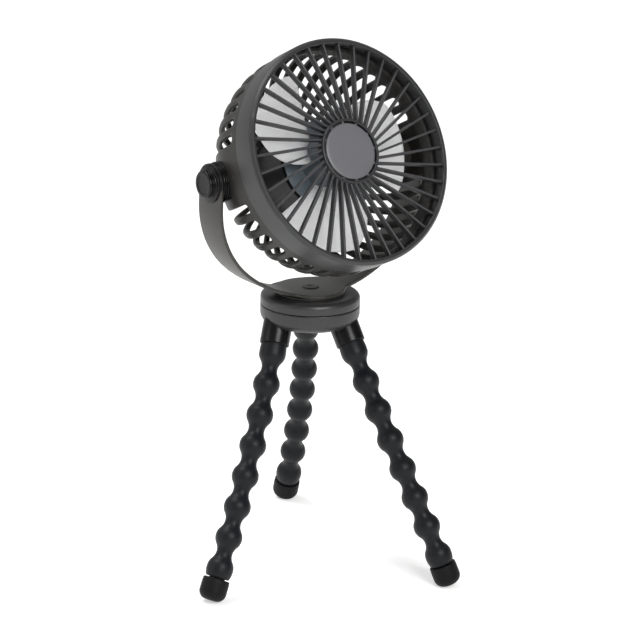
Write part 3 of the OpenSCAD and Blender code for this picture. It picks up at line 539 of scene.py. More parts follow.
@dataclass
class Cage:
    """The rear shell: a solid band, rounded ribs round the back, the ring they end in and two bosses."""

    place: Place
    shell_r: float = 64.5
    wall: float = 3.2
    seam: float = 16.0
    straight: float = 12.0
    slots: int = 40
    open_share: float = 0.53
    slot_tip: float = 22.0
    saddle_half: float = 15.0
    mid_r: float = 25.3
    ring_w: float = 4.8
    ring_hold: float = 2.0
    edge: float = 1.35
    edge_room: float = 0.8
    full_edge_r: float = 42.0
    tip_steps: int = 12
    rib_steps: int = 26
    shares: tuple[float, ...] = (0.0, 0.1, 0.3, 0.6, 1.0)
    plain_tip: float = 0.2
    plain_rib: float = 0.04
    boss_r: float = 11.0
    boss_start: float = 56.3
    boss_end: float = 66.8
    boss_step: float = 1.5

    @property
    def bend(self) -> float:
        """Radius of the shell's rounding."""
        return self.shell_r - self.mid_r

    def radius_at(self, path: float, depth: float = 0.0) -> float:
        """Gives the radius at a distance along the outside from the seam and a depth below it."""
        return self.mid_r + (self.bend - depth) * math.cos(max(0.0, path - self.straight) / self.bend)

    def point(self, angle: float, path: float, depth: float) -> Vector:
        """Finds a point of the shell.

        Args:
            angle: Angle round the head in degrees.
            path: Distance along the outside from the seam.
            depth: Distance inwards from the outside.

        Returns:
            The point in the head's own axes.
        """
        radius, turn = self.radius_at(path, depth), math.radians(angle)
        bent = max(0.0, path - self.straight) / self.bend
        height = -self.seam - min(path, self.straight) - (self.bend - depth) * math.sin(bent)
        return Vector((radius * math.cos(turn), radius * math.sin(turn), height))

    def drop(self, path: float, share: float) -> float:
        """Gives how far a rib's rounded edge lies below its face, at a share of the rounding."""
        fall = self.edge * (1 - math.sqrt(1 - (1 - share) ** 2))
        return fall * min(1.0, self.radius_at(path) / self.full_edge_r)

    def half_cell(self, centre: float, side: int, slotted: bool) -> list[list[Triple]]:
        """Lays out the grid between a slot's middle line and the middle of the rib beside it.

        Args:
            centre: Angle of the slot's middle line in degrees.
            side: 1 or -1 for the side of that line.
            slotted: Whether the slot is cut there.

        Returns:
            Rows of points, each as angle, path and share of the edge rounding.
        """
        pitch = 180 / self.slots
        half_open = self.open_share * 180 / self.slots
        open_to = half_open if slotted else 0.0
        per_mm = math.degrees(1 / self.shell_r)
        tip_r = self.shell_r * math.radians(half_open)
        middle = self.slot_tip - self.seam + tip_r
        end = self.straight + self.bend * math.acos((self.ring_w - self.ring_hold) / self.bend)
        rows: list[tuple[list[Pair], Pair]] = []
        half = self.tip_steps // 2
        for k in range(self.tip_steps + 1):
            phi = math.pi / 2 * k / self.tip_steps
            reaches = [
                tip_r + self.edge * share if slotted else tip_r * self.plain_tip * share
                for share in self.shares
            ]
            row = [(reach * math.sin(phi) * per_mm, middle - reach * math.cos(phi)) for reach in reaches]
            rows.append((row, (pitch * min(k, half) / half, middle * max(0, k - half) / half)))
        for k in range(1, self.rib_steps + 1):
            path = middle + (end - middle) * k / self.rib_steps
            degree = math.radians(1) * self.radius_at(path)
            edge = min(self.edge, self.edge_room * (pitch - open_to) * degree) / degree
            row = [(open_to + (edge if slotted else self.plain_rib) * share, path) for share in self.shares]
            rows.append((row, (pitch, path)))
        shown = [*(self.shares if slotted else [1.0] * len(self.shares)), 1.0, 1.0]
        grid = []
        for row, far in rows:
            near = row[-1]
            row += [((near[0] + far[0]) / 2, (near[1] + far[1]) / 2), far]
            grid.append([(centre + side * angle, path, share) for (angle, path), share in zip(row, shown)])
        return grid

    def shell(self) -> None:
        """Makes the shell with its ribs, ring, snap lip, rim and bosses."""
        shape, place, seam = Mesher(), self.place.head(), -self.seam
        for i in range(2 * self.slots):
            centre = 360 / self.slots * (i // 2)
            slotted = abs(math.sin(math.radians(centre))) * self.shell_r > self.saddle_half
            outer, inner = [], []
            for row in self.half_cell(centre, 1 if i % 2 else -1, slotted):
                spots = [(angle, path, self.drop(path, share)) for angle, path, share in row]
                outer.append(shape.add(place @ self.point(a, p, d) for a, p, d in spots))
                inner.append(shape.add(place @ self.point(a, p, self.wall - d) for a, p, d in spots))
            shape.skin(outer, around=False)
            shape.skin(inner, around=False)
            if slotted:
                shape.skin([[a[0], b[0]] for a, b in zip(outer, inner)], around=False)
        back = seam - self.straight
        slope = back - math.sqrt((self.bend - self.wall) ** 2 - self.ring_w ** 2)
        wide = self.mid_r + self.ring_w
        shape.turned([
            (self.mid_r, back - self.bend, 0.5), (wide, back - self.bend + 0.3, 0.7), (wide, slope, 0.5),
            (self.mid_r, slope, 0.3),
        ], place, steps=160)
        lip, snap = self.shell_r - 2.1, seam + 3.5
        shape.turned([
            (lip, seam - 2, 0.0), (lip, snap - 0.7, 0.0), (lip + 0.6, snap, 0.2), (lip, snap + 0.7, 0.0),
            (lip, seam + 6, 0.3), (lip - 2, seam + 6, 0.3), (lip - 2, seam - 2, 0.0),
        ], place, steps=200)
        rim = self.shell_r
        shape.turned([
            (rim - 1.0, seam, 0.0), (rim - 1.0, seam - 0.45, 0.0), (rim - 0.25, seam - 0.5, 0.2),
            (rim, seam - 0.85, 0.0), (rim - 1.6, seam - 1.6, 0.0), (rim - 3.2, seam, 0.0),
        ], place, steps=256)
        step = self.boss_r - self.boss_step
        shape.turned([
            (0.0, self.boss_start, 0.0), (self.boss_r, self.boss_start, 0.0),
            (self.boss_r, self.boss_end - 2.0, 0.5), (step, self.boss_end - 1.9, 0.2),
            (step, self.boss_end, 0.4), (0.0, self.boss_end, 0.0),
        ], *self.place.sides())
        # The shell takes the darkened copy of its grey, which paints the shade inside it.
        shape.make("ribbed_rear_shell", Look.SHELL, "head", "rear_shell", smooth=42, weld=0.002)


@dataclass
class Impeller:
    """The fan wheel: a hub with a disc at its back, painted in a darker shade of the blades' plastic, and
    three broad pale blades.
    """

    place: Place
    blades: int = 3
    blade_r: float = 53.0
    front: float = 19.5
    rear: float = 31.5
    blade_t: float = 1.5
    edge_t: float = 0.12
    side_fade: float = 9.0
    tip_fade: float = 16.0
    bow: float = 1.2
    tip_round: float = 1.5
    front_sweep: Triple = (182.0, 29.5, 2.2)
    rear_sweep: Triple = (107.0, 25.0, 12.0)
    rear_gap: float = 0.8
    root_sink: float = 0.7
    hub_r: float = 14.5
    hub_in_r: float = 13.2
    hub_front: float = 10.0
    hub_wall: float = 2.0
    collar_r: float = 3.2
    disc_r: float = 25.0
    shaft_r: float = 1.5
    fine: int = 30

    def middle(self, v: float, w: float) -> Vector:
        """Finds a point of a blade's middle sheet.

        Each edge starts at an angle round the hub and is swept back towards the tip.

        Args:
            v: Share of the way from hub to tip.
            w: Share of the way from the rear edge to the front edge.

        Returns:
            The point in the head's own axes.
        """
        start, sweep, late = self.front_sweep
        ahead = start - sweep * v ** late
        start, sweep, back = self.rear_sweep
        behind = start - sweep * v + back * v * v
        turn = math.radians(behind + (ahead - behind) * w)
        low = self.rear - self.rear_gap
        depth = low - (low - self.front) * w - self.bow * math.sin(math.pi * w) * v
        root = self.hub_r - self.root_sink
        radius = root + v * (self.blade_r - self.tip_round * (2 * w - 1) ** 6 - root)
        return Vector((radius * math.cos(turn), radius * math.sin(turn), -depth))

    def blade(self, shape: Mesher, place: Matrix) -> None:
        """Adds one blade, thick in the middle and thin at its edges.

        Args:
            shape: The mesh that takes it.
            place: Matrix from the blade's own axes to the fan's.
        """
        last, step = self.fine, 0.004
        shares = [0.5 - 0.5 * math.cos(math.pi * j / last) for j in range(last + 1)]
        faces: dict[int, list[list[int]]] = {1: [], -1: []}
        for v in shares:
            rows: dict[int, list[Vector]] = {1: [], -1: []}
            for w in shares:
                here = self.middle(v, w)
                across = self.middle(v, min(1, w + step)) - self.middle(v, max(0, w - step))
                out = self.middle(min(1, v + step), w) - self.middle(max(0, v - step), w)
                normal = out.cross(across).normalized()
                edge = min(1.0, self.side_fade * min(w, 1 - w), self.tip_fade * (1 - v))
                fullness = math.sqrt(max(0.0, 1 - (1 - edge) ** 2))
                half = self.blade_t / 2 * (self.edge_t + (1 - self.edge_t) * fullness)
                for face in (1, -1):
                    rows[face].append(place @ (here + face * half * normal))
            for face in (1, -1):
                faces[face].append(shape.add(rows[face]))
        for face in (1, -1):
            shape.skin(faces[face], around=False)
        border = [(0, j) for j in range(last)] + [(i, last) for i in range(last)]
        border += [(last, j) for j in range(last, 0, -1)] + [(i, 0) for i in range(last, 0, -1)]
        shape.skin([[faces[face][i][j] for i, j in border] for face in (1, -1)])

    def wheel(self) -> None:
        """Makes the blades."""
        shape = Mesher()
        for i in range(self.blades):
            self.blade(shape, self.place.head() @ spun(360 * i / self.blades))
        shape.make("fan_blades", Look.BLADE, "rotor", "impeller", smooth=50)

    def hub(self) -> None:
        """Makes the hub and the disc at its back, in the darker copy of the blade plastic that paints its
        shade.
        """
        shape, top, low = Mesher(), -self.hub_front, -self.rear
        shape.turned([
            (self.shaft_r, top - 1.5, 0.0), (self.collar_r, top - 1.5, 0.2), (self.collar_r, top, 0.2),
            (self.hub_r, top, 1.4), (self.hub_r, low + 1.5, 1.0), (self.disc_r, low + 1.2, 0.4),
            (self.disc_r, low, 0.3), (self.hub_in_r, low, 0.3), (self.hub_in_r, top - self.hub_wall, 0.3),
            (self.shaft_r, top - self.hub_wall, 0.0),
        ], self.place.head(), steps=160)
        # The hub takes the darker copy of the blade plastic, its painted shade.
        shape.make("fan_hub", Look.SMOKE, "rotor", smooth=50)


@dataclass
class Yoke:
    """The U-shaped band that carries the head, its round pad and the caps over the pivot bolts."""

    place: Place
    half: float = 70.0
    drop: float = 72.5
    bend: float = 52.0
    straight: float = 14.0
    width: float = 22.0
    thick: float = 2.0
    soft: float = 0.55
    pad_r: float = 20.0
    pad_t: float = 2.8
    pad_blend: float = 3.0
    end_steps: int = 18
    arm_steps: int = 8
    bend_steps: int = 24
    floor_steps: int = 64
    washer_r: float = 6.95
    cap_r: float = 7.8
    cap_l: float = 4.6
    flange_r: float = 10.4
    eye_r: float = 11.15
    eye_proud: float = 0.12
    bore: float = 5.5
    ring_bore: float = 9.0
    ring_start: float = 62.6
    ring_end: float = 66.95

    def outline(self) -> list[Pair]:
        """Gives the outside line of one half of the band, from pivot height down to the middle.

        Returns:
            Points as X and height above the pivots, for the side at +X.
        """
        cx, rise = self.half - self.bend, self.drop - self.straight - self.bend
        lift = (cx * cx - rise * rise) / (2 * rise)
        turn = math.atan2(lift, cx)
        flat_r = self.bend + rise + lift
        line = [(self.half, -self.straight * k / self.arm_steps) for k in range(self.arm_steps)]
        for k in range(self.bend_steps + 1):
            a = -turn * k / self.bend_steps
            line.append((cx + self.bend * math.cos(a), -self.straight + self.bend * math.sin(a)))
        for k in range(1, self.floor_steps + 1):
            a = -turn + (turn - math.pi / 2) * k / self.floor_steps
            line.append((flat_r * math.cos(a), -self.straight + lift + flat_r * math.sin(a)))
        return line

    def spread(self, x: float) -> float:
        """Gives the half width of the band, which widens into the round pad in the middle.

        Args:
            x: Distance from the middle, along X.

        Returns:
            The half width.
        """
        half = self.width / 2
        disc = math.sqrt(max(0.0, self.pad_r ** 2 - x * x))
        wide = (half + disc + math.sqrt((half - disc) ** 2 + self.pad_blend)) / 2
        return min(self.pad_r, max(half, wide)) if disc > 0 else half

    def band(self) -> None:
        """Makes the band with its round ends and the pad."""
        shape, place = Mesher(), self.place.base(self.place.pivot_z)
        half_w = self.width / 2
        side = []
        for k in range(self.end_steps, 0, -1):
            a = math.pi / 2 * k / self.end_steps
            side.append((self.half, half_w * math.sin(a), max(0.02, half_w * math.cos(a))))
        side += [(x, z, self.spread(x)) for x, z in self.outline()]
        line = side + [(-x, z, w) for x, z, w in reversed(side[:-1])]
        rings = []
        for i, (x, z, w) in enumerate(line):
            x0, z0, _ = line[max(0, i - 1)]
            x1, z1, _ = line[min(len(line) - 1, i + 1)]
            ahead = Vector((x1 - x0, 0, z1 - z0)).normalized()
            inward = Vector((ahead.z, 0, -ahead.x))
            soft = min(self.soft, w)
            near = max(0.0, 1 - abs(x) / self.pad_r) if z < -self.straight else 0.0
            thick = self.thick + (self.pad_t - self.thick) * near * near * (3 - 2 * near)
            section = rounded([(w, 0.0, soft), (-w, 0.0, soft), (-w, thick, soft), (w, thick, soft)], 4)
            rings.append(shape.add(place @ (Vector((x, y, z)) + inward * t) for y, t in section))
        shape.tube(rings)
        shape.turned(
            [(0.0, 0.0, 0.0), (self.pad_r, 0.0, 0.3), (self.pad_r, 1.1, 0.5), (0.0, 1.5, 0.0)],
            place @ Matrix.Translation((0, 0, -self.drop)), steps=128,
        )
        low, top, r = self.half - 0.4, self.half + 1.2, self.washer_r
        shape.turned(
            [(0.0, low, 0.0), (r, low, 0.0), (r, top, 0.2), (0.0, top, 0.0)], *self.place.sides(), steps=64
        )
        # The band takes the lighter, painted-light copy of the shell grey.
        shape.make("yoke_band", Look.YOKE, "yoke", "yoke", smooth=40)

    def caps(self) -> None:
        """Makes the stepped round caps over the pivot bolts."""
        shape, r, h, top = Mesher(), self.cap_r, self.half, self.half + self.cap_l
        shape.turned([
            (0.0, h + 1.6, 0.0), (r - 0.8, h + 1.6, 0.0), (r - 0.8, h + 0.05, 0.0),
            (self.flange_r, h + 0.05, 0.2), (self.flange_r, h + 0.95, 0.4), (r + 0.9, h + 1.15, 0.2),
            (r + 0.8, h + 1.75, 0.35),
            (r, h + 1.85, 0.15), (r, h + 2.6, 0.2), (r - 0.5, h + 2.75, 0.12), (r - 0.5, h + 3.05, 0.12),
            (r, h + 3.2, 0.2), (r - 0.1, top, 0.8), (r - 2.2, top, 0.25), (r - 2.5, top - 0.3, 0.25),
            (0.0, top - 0.3, 0.0),
        ], *self.place.sides())
        shape.make("pivot_bolt_caps", Look.PIVOT, "yoke", "pivot_caps")

    def eyes(self) -> None:
        """Makes the grooved black bushes that line the round ends of the band."""
        shape, r, h, bore = Mesher(), self.eye_r, self.half, self.bore
        inner, outer = h - self.thick - self.eye_proud, h + self.eye_proud
        shape.turned([
            (bore, inner, 0.0), (r, inner, 0.35), (r, h - 1.25, 0.15), (r - 0.35, h - 1.1, 0.1),
            (r - 0.35, h - 0.85, 0.1), (r, h - 0.7, 0.15), (r, outer, 0.35), (bore, outer, 0.0),
        ], *self.place.sides())
        shape.make("pivot_eye_bushes", Look.PIVOT, "yoke")

    def rings(self) -> None:
        """Makes the grooved black rings on the head's bosses, whose black also paints the pads beside the
        pivots dark as painted shade.
        """
        shape, r, bore = Mesher(), self.eye_r + 0.1, self.ring_bore
        start, end = self.ring_start, self.ring_end
        shape.turned([
            (bore, start, 0.0), (r + 0.35, start, 0.2), (r + 0.35, 65.15, 0.4), (r - 0.5, 65.3, 0.12),
            (r - 0.5, 65.6, 0.12), (r, 65.75, 0.25), (r, 66.35, 0.3), (r - 0.9, 66.5, 0.15),
            (r - 1.0, end, 0.2), (bore, end, 0.0),
        ], *self.place.sides())
        # The black rings reach over the bosses' pads, which paints the shade beside the pivot stacks.
        shape.make("boss_rings", Look.PIVOT, "head")


@dataclass
class Legs:
    """Three bendable bead legs, each a silicone skin over its beads, with a rubber cap for a foot."""

    place: Place
    root_z: float = 139.2
    root_r: float = 23.0
    root_heading: float = 180.0
    first_bead: float = 13.2
    pitch: float = 17.9
    bead_r: float = 7.65
    neck_r: float = 4.6
    neck_bend: float = 4.2
    beads: int = 8
    foot_reach: float = 12.4
    foot_r: float = 7.75
    foot_l: float = 12.5
    foot_round: float = 5.0
    foot_flat: float = 0.4
    rim_r: float = 4.5
    socket: float = 2.2
    root_end: Triple = (8.4, 0.13, 2.4)
    tail_end: Triple = (5.0, 0.11, 2.6)
    groove: tuple[Pair, ...] = ((5.2, 6.72), (5.34, 6.5), (5.42, 6.2), (5.46, 5.6), (5.5, 4.6), (7.2, 4.4))
    turn_in: float = 3.0
    root_steps: int = 16
    bead_steps: int = 32
    tail_steps: int = 12
    around: int = 48
    headings: Triple = (36.5, -24.4, -7.9)
    turns: Triple = (-16.3, 37.8, 21.6)
    flexes: Triple = (-1.6, -11.4, -9.2)
    splays: list[float] = field(default_factory=lambda: [30.0, 30.0, 30.0])

    def __post_init__(self) -> None:
        """Finds the splay at which each foot stands on the table."""
        total = self.first_bead + (self.beads - 1) * self.pitch + self.foot_reach
        for k in THREE:
            for _ in range(8):
                lean = math.radians(self.splays[k] + self.flexes[k])
                low = ((self.foot_l / 2 - self.foot_round) * math.cos(lean)
                       + (self.foot_r - self.foot_round) * math.sin(lean) + self.foot_round)
                error = self.run(k, self.beads).z - low + self.foot_flat
                self.splays[k] -= error / (total * math.sin(math.radians(self.splays[k]))) * 180 / math.pi

    @property
    def first_hinge(self) -> float:
        """Distance from a leg's root to its first hinge."""
        return self.first_bead - math.sqrt(self.bead_r ** 2 - self.rim_r ** 2)

    def root(self, k: int) -> Vector:
        """Gives the root of leg k on the fan's upright axis."""
        turn = math.radians(self.root_heading + 120 * k)
        return Vector((self.root_r * math.cos(turn), self.root_r * math.sin(turn), self.root_z))

    def angles(self, k: int, i: int) -> Pair:
        """Gives heading and splay, in degrees, of leg k at step i along it."""
        heading = self.root_heading + 120 * k + self.headings[k] + self.turns[k] * i / self.beads
        return heading, self.splays[k] + self.flexes[k] * i / self.beads

    def way(self, k: int, i: int) -> Vector:
        """Gives the direction, of length 1, of leg k at step i along it."""
        h, s = (math.radians(angle) for angle in self.angles(k, i))
        return Vector((math.cos(h) * math.sin(s), math.sin(h) * math.sin(s), -math.cos(s)))

    def between(self, k: int, i: int) -> Vector:
        """Gives the direction of leg k half way between the steps i and i + 1."""
        return (self.way(k, i) + self.way(k, i + 1)).normalized()

    def run(self, k: int, i: int) -> Vector:
        """Gives the centre of bead i + 1 of leg k, or of its foot cap after the last bead."""
        here = self.root(k)
        for j in range(i + 1):
            step = self.first_bead if j == 0 else self.foot_reach if j == self.beads else self.pitch
            here = here + step * self.way(k, j)
        return here

    def along(self, k: int, start: Vector, i: int) -> Matrix:
        """Gives a place at a start point whose Z runs along leg k as it does at step i."""
        h, s = self.angles(k, i)
        return Matrix.Translation(start) @ spun(h) @ Matrix.Rotation(math.radians(180 - s), 4, "Y")

    def swell(self, far: float) -> float:
        """Gives the radius of the skin at a distance from the middle of a bead.

        Args:
            far: Distance along the leg from the bead's middle, up to half the pitch.

        Returns:
            The radius, round over the bead and hollow over the neck.
        """
        half = self.pitch / 2
        hollow = (half ** 2 + self.neck_r ** 2 - self.bead_r ** 2) / (2 * (self.bead_r - self.neck_r))
        meet = half * self.bead_r / (self.bead_r + hollow)
        if far <= meet:
            return math.sqrt(self.bead_r ** 2 - far ** 2)
        return self.neck_r + hollow - math.sqrt(max(0.0, hollow ** 2 - (half - far) ** 2))

    def sleeve(self, k: int, i: int, spots: Sequence[tuple[Vector, Vector, float]]) -> bpy.types.Object:
        """Makes a length of skin through rings along the leg.

        Args:
            k: Number of the leg from 0.
            i: Number of the length from 0.
            spots: Centre, direction and radius of each ring.

        Returns:
            The object.
        """
        shape = Mesher()
        aside = self.way(k, 0).cross(Vector((0, 0, 1))).normalized()
        rings = []
        for centre, ahead, radius in spots:
            u = (aside - ahead * aside.dot(ahead)).normalized()
            v = ahead.cross(u)
            rings.append(shape.add(
                self.place.base() @ (centre + radius * (math.cos(a) * u + math.sin(a) * v))
                for a in (2 * math.pi * j / self.around for j in range(self.around))
            ))
        shape.tube(rings)
        return shape.build(f"leg_{k + 1}_skin_{i}", Look.LEG, 80, weld=0.0)

    def barrel(self, far: float, reach: float, fall: float, late: float) -> float:
        """Gives the radius of a bead's fuller end, which loses the share fall at its reach."""
        return self.bead_r * (1 - fall * (far / reach) ** late)

    def tail(self) -> list[Pair]:
        """Gives distance and radius of the rings over the lower half of the last bead.

        Returns:
            The pairs, down to the groove above the foot cap and the neck inside it.
        """
        spots = [self.tail_end[0] * j / self.tail_steps for j in range(self.tail_steps + 1)]
        return [(far, self.barrel(far, *self.tail_end)) for far in spots] + list(self.groove)

    def skins(self, k: int) -> None:
        """Makes the skin of leg k, in lengths from bead to bead across the necks."""
        axis, first, ahead = self.place.base(), self.run(k, 0), self.way(k, 0)
        start = self.root(k) + (self.first_hinge - self.socket) * ahead
        spots = []
        for t in (j / self.root_steps for j in range(self.root_steps + 1)):
            far = (1 - t) * (first - start).length
            radius = self.barrel(far, *self.root_end)
            spots.append((start.lerp(first, t), ahead.lerp(self.between(k, 0), t ** 3).normalized(), radius))
        finished(self.sleeve(k, 0, spots), f"leg_{k + 1}_link_1", Look.LEG)
        for i in range(1, self.beads):
            a, b = self.run(k, i - 1), self.run(k, i)
            before, after = self.between(k, i - 1), self.between(k, i)
            spots = []
            for even in (j / self.bead_steps for j in range(self.bead_steps + 1)):
                eased = 0.5 - 0.5 * math.cos(math.pi * even) if 0 < even < 1 else even
                t = 0.5 * eased + 0.5 * even
                far = min(t, 1 - t) * self.pitch
                spots.append((a.lerp(b, t), before.lerp(after, t).normalized(), self.swell(far)))
            piece = self.sleeve(k, i, spots)
            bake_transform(piece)
            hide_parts(f"leg_{k + 1}_bead_{i}")
            LOG.info("%s bends between two beads", piece.name)
        last, ahead = self.run(k, self.beads - 1), self.way(k, self.beads)
        before = self.between(k, self.beads - 1)
        piece = self.sleeve(k, self.beads, [
            (last + far * ahead, before.lerp(ahead, min(1.0, far / self.turn_in)).normalized(), radius)
            for far, radius in self.tail()
        ])
        finished(piece, f"leg_{k + 1}_link_{self.beads}", Look.LEG, f"leg_{k + 1}_bead_{self.beads}")

    def foot(self, k: int) -> None:
        """Makes the foot cap of leg k, cut flat where it stands."""
        shape, half, r = Mesher(), self.foot_l / 2, self.foot_r
        shape.turned([
            (0.0, 0.4 - half, 0.0), (4.9, 0.4 - half, 0.2), (5.4, -half, 0.2), (r - 0.2, -half, 0.6),
            (r, -half + 2.4, 1.5), (r, half, self.foot_round), (0.0, half, 0.0),
        ], self.place.base() @ self.along(k, self.run(k, self.beads), self.beads), soft=12)
        piece = shape.build(f"leg_{k + 1}_foot_cap", Look.FOOT)
        work = bmesh.new()
        work.from_mesh(piece.data)
        cut = bmesh.ops.bisect_plane(
            work, geom=[*work.verts, *work.edges, *work.faces], plane_co=(0, 0, 0), plane_no=(0, 0, -1),
            clear_outer=True,
        )
        edges = [e for e in cut["geom_cut"] if isinstance(e, bmesh.types.BMEdge)]
        bmesh.ops.edgeloop_fill(work, edges=edges)
        work.to_mesh(piece.data)
        work.free()
        piece.data.set_sharp_from_angle(angle=math.radians(30))
        finished(piece, f"leg_{k + 1}_link_{self.beads}", Look.FOOT, f"foot_cap_{k + 1}")


@dataclass
class Puck:
    """The base puck, the swivel plate on it, the collars that hold the legs and the swivel bolt."""

    place: Place
    legs: Legs
    radius: float = 28.5
    bottom: float = 141.5
    height: float = 11.1
    round_low: float = 6.5
    seam_gap: float = 0.3
    plate_h: float = 6.5
    plate_round: float = 3.0
    pad_t: float = 2.8
    pocket_r: float = 7.0
    pocket_h: float = 6.0
    bolt_r: float = 2.5
    collar_r: float = 8.4
    collar_in: float = 8.0
    collar_out: float = 0.7
    collar_wall: float = 0.6
    collar_pocket: float = 4.6

    def body(self) -> None:
        """Makes the puck below the swivel seam."""
        shape, bore = Mesher(), self.bolt_r + 0.1
        shape.turned([
            (self.pocket_r, 0.0, 0.3), (self.radius, 0.0, self.round_low), (self.radius, self.height, 0.7),
            (bore, self.height, 0.2), (bore, self.pocket_h, 0.2), (self.pocket_r, self.pocket_h, 0.2),
        ], self.place.base(self.bottom), steps=192, soft=10)
        shape.make("base_puck", Look.BODY, "base", "base_body")

    def plate(self) -> None:
        """Makes the plate above the swivel seam, which turns with the yoke."""
        shape, top, bore = Mesher(), self.plate_h, self.bolt_r + 0.3
        shape.turned([
            (bore, 0.0, 0.0), (self.radius, 0.0, 0.5), (self.radius, top, self.plate_round), (bore, top, 0.0),
        ], self.place.base(self.bottom + self.height + self.seam_gap), steps=192, soft=10)
        shape.make("swivel_plate_disc", Look.BODY, "yoke", "swivel_plate")

    def bolt(self) -> None:
        """Makes the swivel bolt with a low head on the yoke's pad."""
        shape, start, r = Mesher(), self.bottom + 0.8, self.bolt_r
        head = self.bottom + self.height + self.seam_gap + self.plate_h + self.pad_t
        shape.turned([
            (0.0, start, 0.0), (r, start, 0.3), (r, head + 0.1, 0.0), (5.0, head + 0.1, 0.1),
            (4.6, head + 0.5, 0.4), (2.0, head + 0.62, 0.2), (1.7, head + 0.35, 0.2), (0.0, head + 0.35, 0.0),
        ], self.place.base())
        # The bolt takes the same darkened copy of the shell grey, with its painted shade.
        shape.make("swivel_bolt_low_head", Look.SHELL, "base", "swivel_bolt")

    def collars(self) -> None:
        """Makes the three collars under the puck, each with a pocket for the first bead."""
        shape, r, start = Mesher(), self.collar_r, -self.collar_in
        out, inner = self.legs.first_hinge + self.collar_out, self.collar_r - self.collar_wall
        floor = out - self.collar_pocket
        shape.turned([
            (0.0, start, 0.0), (r, start, 0.4), (r, out, 0.55), (inner, out, 0.25), (inner, floor, 0.3),
            (0.0, floor, 0.0),
        ], *(self.place.base() @ self.legs.along(k, self.legs.root(k), 0) for k in THREE))
        shape.make("collars_for_legs", Look.PIVOT, "base", "leg_collars")


@dataclass
class Works:
    """The CAD nodes as they come, with the finish of each."""

    looks: dict[Look, str] = field(default_factory=lambda: {
        Look.BODY: "front_ring spoke_guard base_body swivel_plate motor_housing",
        # The shell grey goes on in two copies: a darkened one as painted shade, and for the yoke a lighter
        # one as painted light.
        Look.SHELL: "rear_shell rear_cover swivel_bolt",
        Look.YOKE: "yoke",
        Look.BADGE: "hub_badge",
        Look.BLADE: "impeller",
        Look.PIVOT: "pivot_caps leg_collars",
        Look.STEEL: "swivel_nut plate_screws housing_screws cover_screws pivot_bolts usb_socket rotor_cup "
                    "motor_shaft",
        Look.NYLON: "swivel_washer pivot_washers",
        Look.IRON: "motor_stator",
        Look.COPPER: "motor_coils",
        Look.BRASS: "motor_bearings",
        Look.BOARD: "circuit_board",
        Look.CELL: "battery",
        Look.LENS: "led_lens",
        Look.BUTTON: "power_button",
    })

    def dress(self, nodes: dict[str, bpy.types.Object]) -> None:
        """Paints every CAD node. The beads and foot caps are told by their names.

        Args:
            nodes: The CAD nodes by name.
        """
        by_name = {name: look for look, names in self.looks.items() for name in names.split()}
        for name, thing in nodes.items():
            look = by_name.get(name) or (Look.FOOT if "foot" in name else Look.LEG)
            look.paint(thing)
            LOG.info("%s is finished as %s", name, look.value.slot)


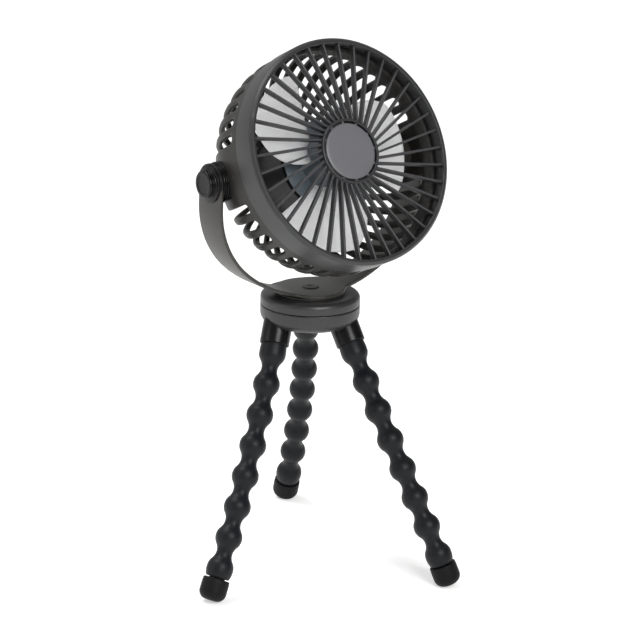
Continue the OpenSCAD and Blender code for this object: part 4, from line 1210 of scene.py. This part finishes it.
@dataclass
class Studio:
    """The pale floor, the soft lamps and the camera at the photograph's viewing angle."""

    eye: Triple = (-998.5704751134125, -1404.5113257593907, 667.1554001616257)
    right: Triple = (0.8143860420160542, -0.5798426666769972, 0.023618985379016234)
    up: Triple = (0.1500016754015051, 0.24964418352774814, 0.9566489842191365)
    back: Triple = (-0.5606022404041631, -0.7755386924787652, 0.2902841100063183)
    lens: float = 177.7386630930402
    floor_r: float = 4.0
    floor_z: float = -0.0002
    floor_tone: float = 0.86
    glow_reach: Pair = (0.3, 2.0)
    glow: Pair = (0.42, 0.62)
    room_way: Triple = (-0.55, 0.8, 0.2)
    room_light: Pair = (0.08, 0.7)
    aim: Triple = (0.0, 0.0, 0.2)

    def camera(self) -> None:
        """Sets the camera where the photograph was taken from."""
        data = bpy.data.cameras.new("photo_camera")
        data.lens, data.sensor_width = self.lens, 36.0
        data.clip_start, data.clip_end = 0.05, 50.0
        made = bpy.data.objects.new("photo_camera", data)
        turn = Matrix((self.right, self.up, self.back)).transposed().to_4x4()
        made.matrix_world = Matrix.Translation(Vector(self.eye) * MM) @ turn
        bpy.context.scene.collection.objects.link(made)
        bpy.context.scene.camera = made

    def floor(self) -> None:
        """Lays a wide pale floor that keeps the fan's shadow."""
        mesh = bpy.data.meshes.new("pale_floor")
        work = bmesh.new()
        bmesh.ops.create_circle(work, cap_ends=True, segments=96, radius=self.floor_r)
        work.to_mesh(mesh)
        work.free()
        made = bpy.data.objects.new("pale_floor", mesh)
        made.location.z = self.floor_z
        bpy.context.scene.collection.objects.link(made)
        paint = bpy.data.materials.new("pale_floor")
        tree = Tree(paint)
        away = tree.add("VectorMath", {0: tree.add("NewGeometry").outputs["Position"]}, operation="LENGTH")
        rise = tree.mapped(away.outputs["Value"], self.glow_reach, self.glow)
        part = tree.add("Math", {0: tree.rays("Camera", "Glossy"), 1: rise}, operation="MULTIPLY")
        glow = tree.add("Emission", {"Strength": part.outputs["Value"]})
        matt = tree.add("BsdfDiffuse", {"Color": (self.floor_tone, self.floor_tone, self.floor_tone, 1)})
        both = tree.add("AddShader", {0: matt.outputs["BSDF"], 1: glow.outputs["Emission"]})
        tree.add("OutputMaterial", {"Surface": both.outputs["Shader"]})
        mesh.materials.append(paint)

    def world(self) -> None:
        """Makes the room: white to the camera and through clear plastic, soft grey light on the fan."""
        bpy.context.scene.view_settings.view_transform = "Standard"
        room = bpy.data.worlds.new("white_room")
        bpy.context.scene.world = room
        tree = Tree(room)
        way = tree.add("TexCoord").outputs["Generated"]
        ahead = tree.add("VectorMath", {0: way, 1: self.room_way}, operation="DOT_PRODUCT")
        level = tree.mapped(ahead.outputs["Value"], (-1.0, 1.0), self.room_light)
        lit = tree.add("Background", {"Color": (1, 1, 1, 1), "Strength": level})
        shown = tree.add("Background", {"Color": (1, 1, 1, 1)})
        seen = tree.rays("Camera", "Transmission")
        feeds = {"Fac": seen, 1: lit.outputs["Background"], 2: shown.outputs["Background"]}
        tree.add("OutputWorld", {"Surface": tree.add("MixShader", feeds).outputs["Shader"]})

    def lamp(self, name: str, spot: Triple, size: float, power: float, tint: Triple) -> None:
        """Hangs one soft square lamp that faces the fan.

        Args:
            name: Name of the lamp.
            spot: Where it hangs, in metres.
            size: Length of its side, in metres.
            power: Its power in watts.
            tint: Colour of its light.
        """
        data = bpy.data.lights.new(name, "AREA")
        data.shape, data.size, data.energy, data.color = "SQUARE", size, power, tint
        made = bpy.data.objects.new(name, data)
        made.location = spot
        made.rotation_mode = "QUATERNION"
        made.rotation_quaternion = (Vector(self.aim) - Vector(spot)).to_track_quat("-Z", "Y")
        bpy.context.scene.collection.objects.link(made)

    def lamps(self) -> None:
        """Hangs the lamps: one overhead, a weak one at the left and the main one on the camera's side."""
        self.lamp("overhead_box", (-0.35, 0.35, 1.35), 0.6, 9.0, (1.0, 0.995, 0.985))
        self.lamp("left_box", (-1.3, 0.3, 0.6), 0.5, 2.0, (1.0, 0.98, 0.95))
        self.lamp("key_box", (-0.2, -1.35, 0.95), 0.7, 18.5, (1.0, 0.995, 0.985))


def main() -> None:
    """Loads the frame, builds each sub-assembly and sets the stage."""
    logging.basicConfig(level=logging.INFO, format="%(message)s")
    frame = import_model()
    Works().dress(frame["nodes"])
    place = Place()
    legs = Legs(place)
    grille, cage, impeller, yoke = Grille(place), Cage(place), Impeller(place), Yoke(place)
    puck = Puck(place, legs)
    for make in (
        grille.ring, grille.badge, cage.shell, impeller.wheel, impeller.hub, yoke.band, yoke.caps, yoke.eyes,
        yoke.rings, puck.body, puck.plate, puck.bolt, puck.collars,
    ):
        make()
    for k in THREE:
        legs.skins(k)
        legs.foot(k)
    studio = Studio()
    studio.camera()
    studio.floor()
    studio.world()
    studio.lamps()


if __name__ == "__main__":
    main()
